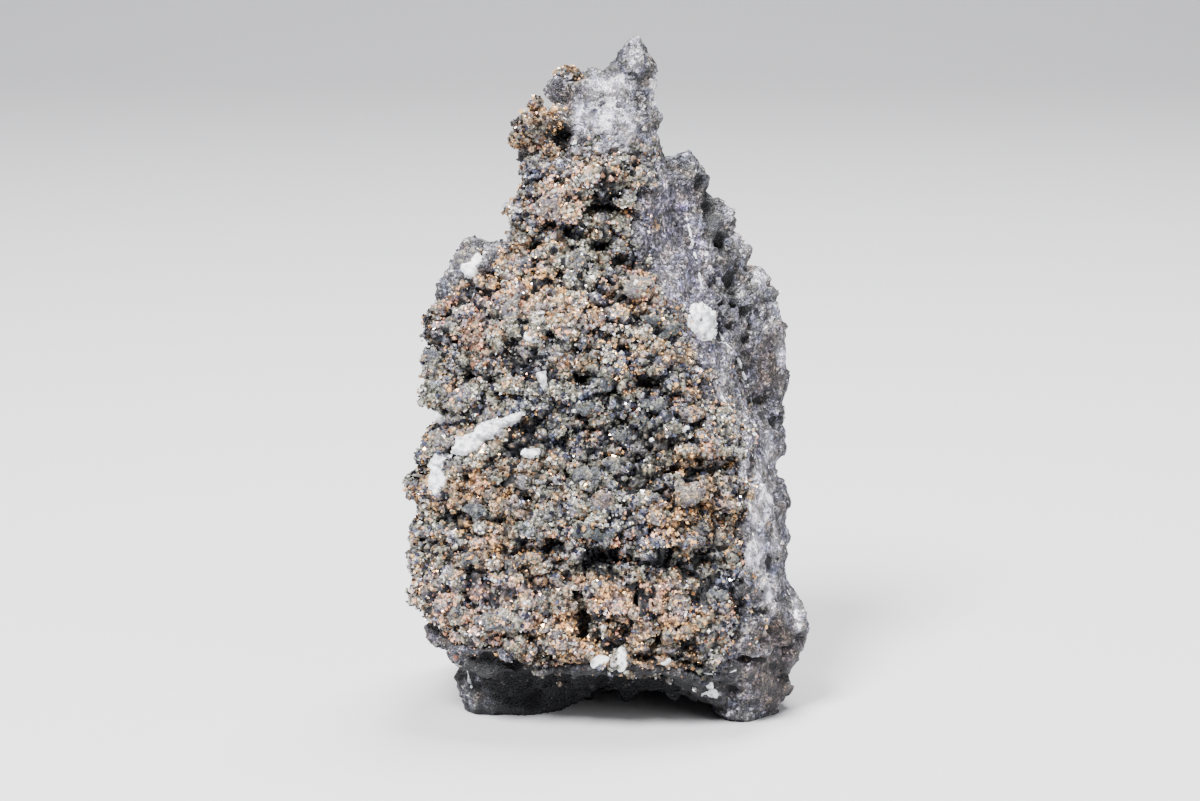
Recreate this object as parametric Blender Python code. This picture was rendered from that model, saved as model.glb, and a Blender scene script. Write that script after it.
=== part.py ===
"""Native silver on its rock: one hand specimen, one solid.

Metres, +Z up. The origin lies on the surface that the specimen stands on, under the middle of
its box. The face with the silver crust looks along -Y.

The block is put together from a few convex lumps, as a broken rock is, which are melted into
one skin, roughened, thinned to plain facets and cut flat where the feet stand.
"""

import bmesh
import bpy
from mathutils import Vector, noise

NODE = "native_silver_specimen"
MM = 0.001

# Driving sizes, in millimetres
SKIN_STEP = 0.58
SKIN_SMOOTHING = 3
SMOOTHING_LOSS = 0.12
FACET_SHARE = 0.36
COARSE_ROUGHNESS = 0.60
COARSE_WAVELENGTH = 4.5
FINE_ROUGHNESS = 0.34
FINE_WAVELENGTH = 1.6
LEDGE_ROUGHNESS = 0.45
LEDGE_LENGTH = 8.0
LEDGE_HEIGHT = 1.5
GROUND_DEPTH = 6.0
GROUND_WIDTH = 80.0

# Corner points of the lumps, in millimetres
LOWER_BLOCK = [
    (-10.3, -5.6, 4.4), (-8.2, -7.4, 3.9), (-1.0, -8.6, 3.6), (5.2, -8.6, 3.3), (9.6, -7.0, 2.6),
    (12.6, -3.2, 2.8), (-12.7, -5.4, 9.0), (-6.5, -8.5, 8.5), (4.0, -9.0, 9.0), (9.3, -7.0, 8.5),
    (12.6, -2.0, 6.0), (-12.5, -4.8, 15.0), (-5.0, -7.4, 15.0), (5.0, -7.4, 15.0),
    (9.2, -5.0, 15.0), (11.7, 0.5, 11.0), (-11.0, -4.2, 19.5), (-4.0, -6.2, 20.0),
    (4.5, -6.2, 20.0), (8.8, -3.5, 19.5), (11.4, 2.6, 16.0), (-9.8, 7.4, 3.0), (8.0, 8.8, 2.5),
    (-10.8, 6.4, 12.0), (9.8, 8.4, 12.0), (-9.6, 5.6, 20.0), (9.0, 7.8, 19.0), (0.0, 9.0, 9.0),
]
UPPER_BLOCK = [
    (-11.0, -4.2, 18.0), (-11.0, -3.4, 23.0), (-11.5, -2.8, 26.0), (-11.3, -2.2, 27.2),
    (-10.2, -0.4, 28.2), (-8.9, 1.2, 29.8), (-7.4, -0.2, 30.6), (-4.5, -6.4, 18.0), (5.0, -6.4, 18.0),
    (-5.0, -4.9, 25.5), (1.5, -4.6, 26.5), (5.3, -3.4, 24.5), (6.9, -1.2, 25.0),
    (9.6, -1.4, 18.5), (-5.8, -1.6, 31.0), (2.0, -1.8, 29.8), (4.0, 0.6, 31.0), (-9.4, 5.4, 20.0),
    (-8.2, 4.6, 28.0), (2.5, 6.8, 29.5), (8.6, 7.0, 20.0),
]
NECK = [
    (-5.3, -1.4, 30.6), (-5.1, -0.4, 33.8), (-4.1, -1.3, 36.0), (-0.5, -2.0, 35.2),
    (2.0, -1.8, 30.0), (4.0, 0.4, 33.6), (3.3, 0.2, 36.0), (-4.2, 2.6, 34.0), (2.4, 4.4, 35.0),
    (-5.0, 3.4, 29.5), (4.4, 4.6, 30.0),
]
PINNACLE = [
    (-2.2, -0.7, 35.5), (-2.5, 0.3, 39.5), (-2.2, 0.7, 41.0), (-1.2, 0.3, 41.6), (1.2, 0.3, 41.8),
    (3.5, 1.2, 41.2), (3.6, 0.6, 37.6), (3.4, -0.1, 34.0), (-1.8, -1.4, 34.0), (-1.8, 3.3, 40.6),
    (2.8, 4.0, 40.6), (3.4, 4.4, 35.0), (-2.0, 3.8, 35.0),
]
SPIKE = [
    (-0.2, 0.5, 41.2), (3.6, 1.2, 40.6), (3.5, 1.3, 42.0), (2.6, 1.2, 43.8), (1.5, 1.3, 44.0),
    (1.9, 2.3, 43.8), (0.4, 3.0, 41.2), (3.3, 3.2, 41.0),
]
RIDGE = [
    (4.3, 3.2, 36.0), (5.5, 3.7, 36.6), (6.9, 4.5, 32.8), (8.4, 5.0, 29.8), (10.4, 5.4, 27.3),
    (3.8, 2.0, 31.0), (6.9, 0.2, 25.5), (4.4, 6.6, 34.5), (8.6, 8.0, 27.5), (10.2, 7.6, 24.0),
    (2.4, 6.8, 29.5), (8.0, 1.0, 21.0),
]
OUTER_SLAB = [
    (10.4, 4.6, 27.3), (11.9, 4.6, 23.4), (12.2, 4.2, 20.3), (9.8, 3.0, 19.2), (8.0, 0.8, 20.0),
    (7.4, 0.6, 25.0), (10.0, 8.2, 26.0), (11.2, 8.2, 21.0), (10.0, 8.4, 16.0), (6.0, 7.8, 22.0),
    (11.2, 2.6, 15.0),
]
LEFT_FOOT = [
    (-10.2, -3.4, 3.8), (-9.4, -2.6, -0.8), (-8.4, -4.3, -0.8), (-4.3, -4.3, -0.8),
    (-2.2, -2.0, -0.8), (-2.6, -5.0, 4.5), (-9.4, -5.6, 4.8), (-8.9, 6.2, -0.8),
    (-9.6, 6.6, 4.0), (-3.2, 6.4, -0.8), (-2.0, 6.6, 4.0),
]
RIGHT_FOOT = [
    (5.6, -6.0, 2.6), (7.4, -4.6, -0.4), (8.9, -6.7, -0.5), (11.0, -4.3, -0.6), (12.2, -3.4, 2.6),
    (10.8, 2.4, -0.6), (11.8, 2.8, 4.0), (6.4, -1.0, -0.4), (6.8, 2.6, -0.4), (5.6, 3.0, 4.0),
    (9.6, -7.2, 3.2),
]
BELLY = [
    (-3.2, -3.8, 0.4), (2.0, -3.4, 0.9), (5.4, -3.6, 0.9), (7.2, -5.0, 0.9), (-3.2, 3.8, 0.6),
    (5.0, 3.8, 0.8), (7.2, 3.0, 0.8), (-3.4, -5.4, 4.6), (7.2, -6.4, 4.6), (-3.0, 5.0, 4.6),
    (6.8, 5.0, 4.6),
]
BACK_STEP = [
    (-8.8, 7.4, 3.2), (1.5, 9.2, 2.8), (-9.0, 7.0, 13.5), (-0.5, 9.3, 16.0), (3.0, 8.8, 12.0),
    (-6.0, 9.0, 7.0), (-8.0, 5.0, 14.5), (2.0, 6.0, 17.0), (0.0, 4.0, 4.0),
]
REAR_FOOT = [
    (-5.4, 5.4, -0.6), (4.6, 5.8, -0.6), (-4.4, 8.1, -0.6), (3.8, 8.5, -0.6), (-7.6, 4.0, 4.0),
    (6.8, 4.0, 4.0), (6.4, 8.6, 4.0), (-6.6, 8.2, 4.0),
]
ROCK_LUMPS = [
    LOWER_BLOCK, UPPER_BLOCK, NECK, PINNACLE, SPIKE, RIDGE, OUTER_SLAB,
    LEFT_FOOT, RIGHT_FOOT, REAR_FOOT, BELLY, BACK_STEP,
]

# Grown knobs: centre and half sizes, in millimetres
GROWN_KNOBS = [
    ((-4.7, -0.1, 37.8), (1.9, 1.7, 1.9)),
    ((-5.0, -0.6, 36.0), (0.9, 1.1, 0.9)),
    ((-4.1, -0.8, 34.3), (1.4, 1.4, 1.6)),
    ((-4.6, -0.9, 32.2), (1.2, 1.3, 1.4)),
    ((-2.5, 2.6, 39.8), (1.1, 1.1, 2.0)),
    ((3.4, 1.4, 38.6), (0.7, 1.1, 0.9)),
    ((-12.0, -5.2, 9.6), (0.7, 1.1, 1.2)),
    ((12.5, -2.4, 5.6), (0.6, 1.4, 1.3)),
    ((-8.3, 0.3, 29.7), (1.2, 1.4, 1.2)),
]


def clear_scene():
    for old in list(bpy.data.objects):
        bpy.data.objects.remove(old, do_unlink=True)


def add_hull(skin, corners):
    """One convex lump: the tightest closed skin round its corner points."""
    verts = [skin.verts.new(Vector(corner) * MM) for corner in corners]
    made = bmesh.ops.convex_hull(skin, input=verts)
    inside = [item for item in made["geom_interior"] if isinstance(item, bmesh.types.BMVert)]
    bmesh.ops.delete(skin, geom=inside, context="VERTS")


def add_knob(skin, centre, half_sizes):
    """One rounded lump: a ball of small facets, stretched to its half sizes."""
    made = bmesh.ops.create_icosphere(skin, subdivisions=3, radius=1.0)
    for vert in made["verts"]:
        stretched = Vector([c * h for c, h in zip(vert.co, half_sizes)])
        vert.co = (stretched + Vector(centre)) * MM


def melted_skin():
    """All the lumps as one skin: they overlap, and a voxel remesh keeps only the outside."""
    skin = bmesh.new()
    for corners in ROCK_LUMPS:
        add_hull(skin, corners)
    for centre, half_sizes in GROWN_KNOBS:
        add_knob(skin, centre, half_sizes)
    bmesh.ops.recalc_face_normals(skin, faces=skin.faces[:])
    mesh = bpy.data.meshes.new("lumps")
    skin.to_mesh(mesh)
    skin.free()
    lumps = add_object("lumps", mesh)
    melt = lumps.modifiers.new("melt", "REMESH")
    melt.mode = "VOXEL"
    melt.voxel_size = SKIN_STEP * MM
    soften = lumps.modifiers.new("soften", "SMOOTH")
    soften.factor = 0.5
    soften.iterations = SKIN_SMOOTHING
    melted = finished_mesh(lumps)
    bpy.data.objects.remove(lumps, do_unlink=True)
    return melted


def roughness_at(point):
    """How far the broken surface stands out of the smooth lumps at a point, in millimetres.

    Coarse and fine lumps in every direction, and long low ones that follow the rock's bedding.
    """
    coarse = noise.fractal(point / COARSE_WAVELENGTH, 0.8, 2.0, 3)
    fine = noise.fractal(point / FINE_WAVELENGTH + Vector((17.0, 5.0, 9.0)), 0.9, 2.1, 2)
    across = Vector((point.x / LEDGE_LENGTH, point.y / LEDGE_LENGTH, point.z / LEDGE_HEIGHT))
    ledges = noise.fractal(across, 0.9, 2.0, 2)
    rough = COARSE_ROUGHNESS * coarse + FINE_ROUGHNESS * fine + LEDGE_ROUGHNESS * ledges
    return SMOOTHING_LOSS + rough


def roughen(mesh):
    normals = [vert.normal.copy() for vert in mesh.vertices]
    for vert, normal in zip(mesh.vertices, normals):
        vert.co += normal * roughness_at(vert.co / MM) * MM


def add_object(name, mesh):
    made = bpy.data.objects.new(name, mesh)
    bpy.context.scene.collection.objects.link(made)
    return made


def finished_mesh(source):
    """The mesh of an object with its modifiers applied."""
    depsgraph = bpy.context.evaluated_depsgraph_get()
    return bpy.data.meshes.new_from_object(source.evaluated_get(depsgraph))


def add_ground():
    """A slab under the specimen, whose top is the plane that the feet stand on."""
    mesh = bpy.data.meshes.new("ground")
    box = bmesh.new()
    bmesh.ops.create_cube(box, size=1.0)
    for vert in box.verts:
        vert.co.x *= GROUND_WIDTH * MM
        vert.co.y *= GROUND_WIDTH * MM
        vert.co.z = (vert.co.z - 0.5) * GROUND_DEPTH * MM
    box.to_mesh(mesh)
    box.free()
    ground = add_object("ground", mesh)
    ground.hide_render = True
    ground.display_type = "WIRE"
    return ground


def stand_over_origin(mesh):
    """Slides the mesh level, until the middle of its box is over the origin."""
    for axis in (0, 1):
        along = [vert.co[axis] for vert in mesh.vertices]
        middle = (min(along) + max(along)) / 2
        for vert in mesh.vertices:
            vert.co[axis] -= middle


def rock_material():
    material = bpy.data.materials.new("silver_bearing_rock")
    material.use_nodes = True
    shader = material.node_tree.nodes["Principled BSDF"]
    shader.inputs["Base Color"].default_value = (0.22, 0.20, 0.19, 1.0)
    shader.inputs["Roughness"].default_value = 0.6
    shader.inputs["Metallic"].default_value = 0.25
    return material


def build_specimen():
    rough = melted_skin()
    roughen(rough)
    blank = add_object("blank", rough)
    thin = blank.modifiers.new("plain_facets", "DECIMATE")
    thin.ratio = FACET_SHARE
    stand = blank.modifiers.new("stand_flat", "BOOLEAN")
    stand.operation = "DIFFERENCE"
    stand.solver = "EXACT"
    stand.object = add_ground()
    mesh = finished_mesh(blank)
    bpy.data.objects.remove(blank, do_unlink=True)
    mesh.name = NODE
    mesh.materials.clear()
    mesh.materials.append(rock_material())
    stand_over_origin(mesh)
    add_object(NODE, mesh)


clear_scene()
build_specimen()
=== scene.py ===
"""Looks of the native silver specimen: grey rock, a crust of tarnished silver grains, white spar.

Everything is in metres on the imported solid's frame: +Z up, the silver crust faces -Y.
Places are given in millimetres, or as pixels of the 1200 x 801 photograph where a feature is
only known from there; a pixel is always carried along the line of sight onto the rock itself.
"""

import itertools
import math

import bmesh
import bpy
import numpy as np
from bpy.props import FloatProperty, IntProperty, PointerProperty
from bpy.types import Operator, Panel, PropertyGroup
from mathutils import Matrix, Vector
from mathutils.bvhtree import BVHTree


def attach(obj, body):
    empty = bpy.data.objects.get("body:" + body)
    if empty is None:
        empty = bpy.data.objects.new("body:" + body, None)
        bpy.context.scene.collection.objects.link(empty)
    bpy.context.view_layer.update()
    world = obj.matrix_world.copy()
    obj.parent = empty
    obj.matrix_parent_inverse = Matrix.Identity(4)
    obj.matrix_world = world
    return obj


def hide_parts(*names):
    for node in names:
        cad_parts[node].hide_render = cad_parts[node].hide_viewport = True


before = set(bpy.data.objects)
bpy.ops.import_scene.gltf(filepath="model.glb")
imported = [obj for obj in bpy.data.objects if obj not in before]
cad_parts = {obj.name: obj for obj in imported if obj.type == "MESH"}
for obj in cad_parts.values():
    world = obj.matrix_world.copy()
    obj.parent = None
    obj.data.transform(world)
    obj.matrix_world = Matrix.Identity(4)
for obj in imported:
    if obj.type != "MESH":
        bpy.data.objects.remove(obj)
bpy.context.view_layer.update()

bl_info = {
    "name": "Native Silver Specimen",
    "version": (1, 0, 0),
    "blender": (4, 5, 0),
    "location": "3D View > Sidebar > Specimen",
    "description": "Builds the rock, the silver crust, the spar and the studio of the specimen",
    "category": "Add Mesh",
}

NODE = "native_silver_specimen"
BODY = "root"
MM = 0.001

# The photograph's frame, in pixels, and the camera that took it
PHOTO_WIDTH = 1200
PHOTO_HEIGHT = 801
SENSOR_WIDTH = 36.0
PIXEL = 0.0656          # millimetres on the specimen for one pixel of the photograph
AIM = np.array([-0.66, -0.17, 20.1]) * MM

# The floor in metres: where it starts to bend up, the bend's radius, its height and half width
FLOOR_BEND = 0.35
FLOOR_ROUND = 0.25
FLOOR_HEIGHT = 1.0
FLOOR_HALF_WIDTH = 1.2

# Soft lights: place and width in metres, power in watts
LIGHTS = {
    "key": ((-0.13, -0.20, 0.32), 0.13, 5.5),
    "fill": ((0.26, -0.18, 0.12), 0.22, 0.8),
    "top": ((0.05, 0.10, 0.34), 0.16, 3.0),
}

# Outline of the silver crust on the front, as pixels of the photograph
CRUST_OUTLINE = [
    (380, 306), (424, 304), (446, 290), (470, 268), (492, 246), (512, 236), (506, 214), (508, 190),
    (514, 172), (536, 164), (560, 158), (576, 152), (602, 150), (640, 152), (654, 176), (640, 205),
    (634, 250), (664, 268), (676, 318), (700, 350), (716, 392), (738, 430), (752, 470), (744, 520),
    (750, 560), (748, 610), (740, 646), (722, 672), (700, 684), (662, 681), (640, 673), (600, 673),
    (574, 668), (552, 678), (532, 668), (506, 652), (470, 648), (430, 640), (380, 606),
]

# White spar: outline in pixels of the photograph, how proud it stands and how ragged, in mm
SPAR_OUTLINES = [
    ([(450, 452), (456, 438), (468, 433), (479, 430), (486, 422), (498, 419), (523, 412),
      (514, 422), (502, 428), (494, 438), (484, 440), (476, 449), (462, 456)], 0.45, 0.36),
    ([(430, 458), (438, 451), (446, 458), (448, 476), (444, 492), (434, 498), (429, 486),
      (433, 472)], 0.38, 0.34),
    ([(424, 286), (434, 285), (436, 297), (427, 299)], 0.35, 0.15),
    ([(426, 412), (438, 408), (443, 418), (431, 423)], 0.40, 0.20),
    ([(700, 690), (712, 686), (726, 694), (722, 703), (704, 700)], 0.30, 0.25),
    ([(538, 374), (546, 371), (547, 386), (541, 392)], 0.30, 0.20),
    ([(462, 254), (478, 249), (483, 262), (474, 276), (460, 272)], 0.15, 0.25),
    ([(690, 306), (702, 303), (712, 311), (716, 326), (713, 340), (702, 341), (693, 332),
      (687, 318)], 0.24, 0.16),
]

# Room around a spar outline and the step of its mesh, in pixels
SPAR_MARGIN = 8
SPAR_STEP = 1.3

# Single crystals of white spar: column, row, half width and half height, turn in degrees
SPAR_CRYSTALS = [
    (621, 660, 6, 13, -6), (600, 662, 9, 5, 24), (665, 661, 5, 4, 0), (682, 431, 9, 4, 28),
    (652, 440, 6, 3, 10), (531, 453, 9, 5, 8), (608, 498, 4, 4, 0), (533, 337, 9, 6, -10),
    (714, 694, 8, 3, -12), (572, 186, 4, 3, 0), (542, 150, 6, 6, 30), (484, 470, 3, 3, 0),
    (566, 494, 3, 3, 0), (694, 400, 3, 2, 0), (605, 328, 6, 3, -10),
]

# Chalky and pale parts of the bare rock, and a painted highlight along the right rim:
# column, row, half width, half height and how pale
CHALK_AND_RIM_LIGHT_ZONES = [
    (760, 504, 15, 26, 1.0), (754, 556, 12, 22, 1.0), (766, 588, 11, 22, 1.0),
    (768, 440, 6, 26, 0.6), (745, 470, 5, 30, 0.7), (740, 428, 8, 16, 0.6), (722, 388, 6, 16, 0.6),
    (610, 85, 27, 13, 1.0), (608, 118, 35, 38, 0.9), (577, 118, 7, 32, 1.0),
    (596, 154, 15, 10, 0.8), (432, 380, 5, 18, 0.8), (451, 688, 9, 30, 0.6),
    (728, 205, 6, 18, 0.5), (742, 240, 7, 18, 0.6), (758, 275, 8, 16, 0.6),
    # The first two zones of the next row are a painted highlight along the right rim's edge
    (772, 310, 9, 26, 0.35), (783, 350, 6, 24, 0.4), (798, 610, 6, 24, 0.6),
    (712, 690, 12, 6, 0.9), (756, 652, 12, 5, 0.5), (745, 716, 16, 5, 0.4), (520, 664, 20, 3, 0.6),
    (600, 668, 30, 3, 0.4), (775, 540, 5, 24, 0.5), (758, 480, 6, 18, 0.5), (636, 58, 9, 16, 0.6),
    (655, 90, 5, 22, 0.8),
]

# Grimy parts of the bare rock, and painted shade under the crust's lower edge, between the
# feet and beside the knob, written like the chalky ones
GRIME_AND_SHADE_ZONES = [
    (706, 178, 8, 16, 0.6), (714, 212, 9, 22, 0.75), (722, 250, 9, 20, 0.75),
    (731, 290, 9, 22, 0.75), (742, 330, 10, 20, 0.6), (752, 364, 8, 16, 0.5),
    (770, 398, 14, 10, 0.5), (640, 66, 14, 10, 0.15), (646, 120, 6, 40, 0.35),
    (775, 668, 30, 36, 0.4), (740, 600, 14, 24, 0.6), (720, 662, 30, 12, 0.5),
    (690, 168, 14, 14, 0.3), (580, 682, 150, 24, 1.0), (500, 668, 44, 14, 0.9),
    (570, 706, 110, 22, 1.0), (510, 694, 34, 18, 0.9), (565, 138, 8, 18, 1.0),
]

# Rows and columns of points on a lump or a single crystal
STONE_ROWS = 18
STONE_COLUMNS = 30

# Other parts of the bare rock: the parting face, the porous rock, the knobs, the stained corner
LAVENDER_ZONES = [(664, 215, 30, 44), (684, 275, 32, 50), (704, 340, 24, 30)]
POROUS_ZONES = [
    (722, 240, 20, 70), (745, 320, 16, 50), (778, 650, 40, 60), (720, 655, 30, 26),
    (640, 60, 20, 24), (770, 395, 20, 22),
]
KNOB_ZONES = [(534, 128, 38, 36), (572, 66, 18, 16)]
STAINED_ZONES = [(775, 668, 40, 50)]

# Hollows in the crust: photo column and row, half width and half height in pixels, depth in mm
HOLLOWS = [
    (556, 549, 20, 14, 1.0), (606, 556, 26, 12, 0.65), (686, 562, 38, 13, 0.5),
    (648, 574, 24, 11, 0.5), (582, 622, 9, 20, 1.3), (578, 600, 9, 9, 1.0), (460, 652, 24, 6, 1.0),
    (505, 660, 22, 6, 0.9), (755, 604, 14, 12, 0.9), (748, 656, 12, 5, 0.8),
    (622, 350, 14, 8, 0.8), (650, 383, 20, 12, 1.1), (581, 381, 12, 8, 1.0), (616, 394, 9, 7, 0.8),
    (489, 368, 9, 8, 0.9), (465, 379, 9, 6, 0.8), (472, 424, 9, 5, 0.8), (534, 421, 8, 7, 0.7),
    (425, 467, 6, 10, 1.0), (622, 400, 8, 5, 0.7), (620, 421, 6, 4, 0.6), (647, 417, 6, 4, 0.6),
    (700, 458, 10, 7, 0.8), (676, 470, 14, 6, 0.9), (550, 336, 10, 8, 0.9), (532, 349, 7, 5, 0.7),
    (560, 138, 10, 12, 1.2), (528, 162, 14, 5, 0.9), (608, 210, 30, 7, 1.2), (562, 212, 8, 7, 0.6),
    (574, 236, 12, 7, 0.9), (604, 246, 10, 8, 0.9), (619, 258, 8, 6, 0.8), (490, 273, 9, 6, 0.7),
    (512, 496, 8, 5, 0.7), (528, 500, 10, 7, 0.8), (436, 520, 8, 5, 0.6), (622, 504, 12, 7, 0.8),
    (565, 498, 10, 5, 0.5), (500, 550, 9, 5, 0.7), (520, 575, 7, 6, 0.6), (560, 470, 9, 6, 0.6),
    (590, 452, 10, 5, 0.6), (636, 456, 12, 6, 0.7), (724, 520, 9, 8, 0.6), (700, 616, 10, 6, 0.6),
    (655, 640, 8, 8, 0.6), (545, 655, 16, 7, 0.8), (596, 640, 8, 12, 0.9), (640, 660, 10, 8, 0.8),
    (690, 664, 14, 6, 0.8), (536, 246, 9, 7, 0.7), (521, 228, 7, 7, 0.6), (665, 352, 8, 6, 0.5),
    (455, 345, 7, 6, 0.5), (500, 396, 12, 5, 0.6), (560, 405, 12, 5, 0.6), (600, 360, 10, 5, 0.6),
    (700, 385, 9, 6, 0.5), (590, 430, 14, 4, 0.5),
]

# Cracks and hollows of the bare rock, written like those of the crust
CRACKS = [
    (724, 302, 6, 4, 0.7), (736, 303, 7, 5, 0.8), (745, 311, 5, 5, 0.7), (753, 320, 5, 4, 0.5),
    (734, 292, 6, 3, 0.5), (730, 326, 5, 4, 0.5), (746, 338, 8, 6, 0.5), (710, 206, 5, 22, 0.6),
    (719, 246, 7, 18, 0.6), (700, 180, 5, 12, 0.6), (731, 278, 6, 14, 0.5), (738, 366, 6, 16, 0.5),
    (759, 400, 14, 6, 0.6), (722, 330, 4, 18, 0.5), (742, 440, 4, 22, 0.5), (776, 420, 8, 12, 0.6),
    (752, 480, 4, 16, 0.4), (778, 500, 4, 26, 0.4), (770, 566, 4, 18, 0.5), (774, 630, 6, 5, 0.8),
    (748, 658, 16, 5, 0.8), (790, 650, 6, 5, 0.5), (762, 640, 6, 4, 0.5), (783, 676, 6, 4, 0.5),
    (735, 690, 10, 4, 0.5), (586, 128, 16, 3, 0.3), (640, 96, 4, 16, 0.3), (655, 118, 4, 18, 0.3),
    (630, 72, 8, 4, 0.3), (574, 120, 4, 9, 0.4), (662, 300, 4, 8, 0.3), (765, 300, 12, 4, 0.3),
    (772, 350, 4, 14, 0.3), (497, 664, 44, 9, 0.9), (562, 138, 9, 16, 1.1), (735, 232, 8, 5, 0.4),
    (752, 262, 10, 4, 0.4), (760, 610, 14, 6, 0.6), (757, 596, 10, 8, 0.5),
]

# Lumps of barren grey gangue, written like the crystals, with each one's tone from 0 to 1
LUMPS = [
    (511, 312, 7, 20, -12, 0.75), (524, 352, 9, 6, -40, 0.7), (588, 478, 15, 10, 10, 0.35),
    (602, 500, 10, 8, 0, 0.85), (690, 494, 14, 11, 0, 0.8), (691, 414, 10, 6, 10, 0.8),
    (640, 288, 15, 10, 0, 0.7), (668, 330, 11, 9, 0, 0.15), (652, 318, 9, 8, 0, 0.3),
    (594, 534, 19, 6, -4, 0.1), (486, 512, 24, 7, -6, 0.3), (472, 337, 10, 10, 0, 0.9),
    (655, 404, 12, 6, 6, 0.3), (586, 408, 10, 6, 0, 0.25), (560, 426, 9, 6, 0, 0.3),
    (620, 436, 9, 7, 0, 0.3), (640, 420, 8, 6, 0, 0.2), (604, 384, 10, 6, -8, 0.3),
    (546, 383, 6, 10, 20, 0.5), (500, 404, 10, 6, 0, 0.4), (454, 398, 10, 7, 0, 0.5),
    (434, 372, 6, 22, 4, 0.5), (468, 262, 15, 12, 20, 0.6), (500, 624, 22, 8, -6, 0.55),
    (460, 612, 14, 8, 0, 0.5), (540, 606, 12, 9, 0, 0.6), (552, 205, 14, 12, 30, 0.8),
    (576, 262, 12, 8, 0, 0.5), (602, 225, 10, 12, 0, 0.4), (664, 352, 11, 7, 0, 0.7),
    (440, 440, 9, 10, 0, 0.75), (716, 596, 10, 8, 0, 0.4), (728, 560, 9, 8, 0, 0.3),
    (612, 466, 10, 7, 0, 0.45), (650, 500, 10, 6, 0, 0.5), (566, 520, 12, 6, -8, 0.4),
    (510, 560, 10, 6, -8, 0.6), (700, 650, 10, 8, 0, 0.4), (470, 560, 12, 6, -8, 0.5),
    (580, 328, 8, 6, 0, 0.6),
]

# Broad tones of the crust, partly its own tarnish and partly painted light and shade over its
# hollows and ledges: column, row, half width, half height, and how much lighter or darker
TONE_AND_SHADE_ZONES = [
    (700, 500, 60, 60, -0.36), (640, 565, 96, 24, -0.42), (556, 548, 26, 16, -0.3),
    (560, 400, 60, 26, -0.04), (480, 330, 56, 56, -0.12), (510, 500, 70, 46, -0.14),
    (728, 590, 28, 50, -0.25), (600, 245, 40, 26, -0.25), (530, 215, 24, 34, -0.25),
    (474, 276, 30, 26, -0.1), (640, 380, 30, 18, -0.25), (470, 400, 40, 30, -0.1),
    (545, 660, 60, 14, -0.3), (690, 660, 40, 20, -0.25), (640, 604, 46, 18, 0.12),
    (604, 330, 20, 8, 0.4), (628, 366, 8, 10, 0.35), (640, 288, 36, 16, 0.08),
    (470, 490, 60, 26, -0.06), (536, 132, 26, 26, -0.15), (575, 295, 60, 24, 0.14),
    (432, 320, 14, 30, -0.35), (540, 125, 34, 30, -0.35), (604, 200, 50, 46, -0.12),
    (610, 180, 40, 20, -0.05), (520, 560, 40, 12, -0.05), (585, 500, 40, 20, -0.08),
    (584, 620, 14, 26, -0.4),
]

# Pale veins: half width in millimetres and the path, as pixels of the photograph
VEINS = [
    (0.12, [(674, 184), (684, 205), (690, 232), (698, 268), (705, 300)]),
    (0.11, [(705, 300), (715, 322), (724, 342), (735, 352), (748, 385), (758, 425)]),
    (0.12, [(711, 362), (717, 382), (723, 400), (736, 416), (749, 432), (756, 474)]),
    (0.10, [(475, 292), (471, 300), (468, 312), (462, 322)]),
    (0.10, [(560, 116), (574, 124), (590, 122), (604, 116)]),
    (0.12, [(762, 430), (768, 460), (773, 500), (776, 540)]),
    (0.10, [(742, 452), (748, 490), (752, 530), (760, 560)]),
    (0.14, [(786, 586), (796, 610), (800, 632)]),
    (0.12, [(466, 668), (470, 684), (476, 700)]),
    (0.10, [(700, 672), (722, 676), (742, 668), (756, 660)]),
]

# Nodules that stand proud of the crust: column, row, half width and half height, height in mm
SWELLS = [
    (600, 176, 20, 14, 0.7), (632, 180, 16, 14, 0.7), (516, 316, 11, 24, 0.8),
    (588, 478, 16, 11, 0.6), (602, 501, 11, 9, 0.6), (690, 493, 16, 12, 0.6),
    (691, 414, 14, 7, 0.5), (644, 290, 30, 14, 0.6), (472, 336, 12, 12, 0.5),
    (560, 205, 24, 20, 0.6), (594, 532, 24, 8, 0.8), (490, 512, 30, 9, 0.4),
    (480, 620, 46, 14, 0.5), (560, 640, 24, 18, 0.5), (640, 610, 36, 14, 0.4),
    (668, 330, 14, 12, 0.5), (655, 400, 20, 7, 0.4), (586, 408, 16, 7, 0.4),
    (530, 120, 20, 16, 0.4), (430, 320, 10, 24, 0.4), (470, 262, 16, 12, 0.3),
]

# Tarnish zones of the crust: photo column and row, half width and half height, in pixels
PINK_ZONES = [
    (500, 600, 90, 34), (650, 605, 50, 22), (475, 337, 22, 16), (560, 205, 26, 26),
    (635, 292, 42, 20), (445, 300, 14, 14), (500, 300, 40, 34), (606, 330, 20, 9),
    (470, 640, 40, 18), (615, 262, 12, 10), (600, 176, 24, 12), (470, 290, 24, 16),
]
GOLD_ZONES = [
    (618, 348, 34, 14), (628, 378, 14, 18), (700, 500, 56, 66), (480, 495, 66, 34),
    (590, 600, 96, 30), (655, 640, 50, 34), (585, 300, 60, 20), (535, 125, 36, 36),
    (500, 560, 60, 22), (570, 640, 60, 30), (690, 352, 24, 12), (574, 70, 14, 10),
    (495, 268, 26, 16), (530, 285, 40, 18),
]
ASH_ZONES = [
    (620, 415, 96, 40), (520, 325, 28, 34), (600, 475, 80, 34), (455, 395, 40, 30),
    (480, 620, 46, 20), (610, 185, 44, 24), (450, 375, 22, 44), (540, 520, 60, 18),
    (570, 380, 40, 24), (485, 513, 44, 14), (590, 260, 40, 26), (660, 240, 20, 40),
]
SLATE_ZONES = [
    (655, 400, 72, 34), (600, 540, 90, 14), (530, 190, 24, 40), (728, 575, 26, 50),
    (560, 395, 60, 24), (690, 545, 50, 20), (540, 175, 24, 14), (600, 440, 60, 20),
    (668, 330, 16, 18),
]

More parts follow.
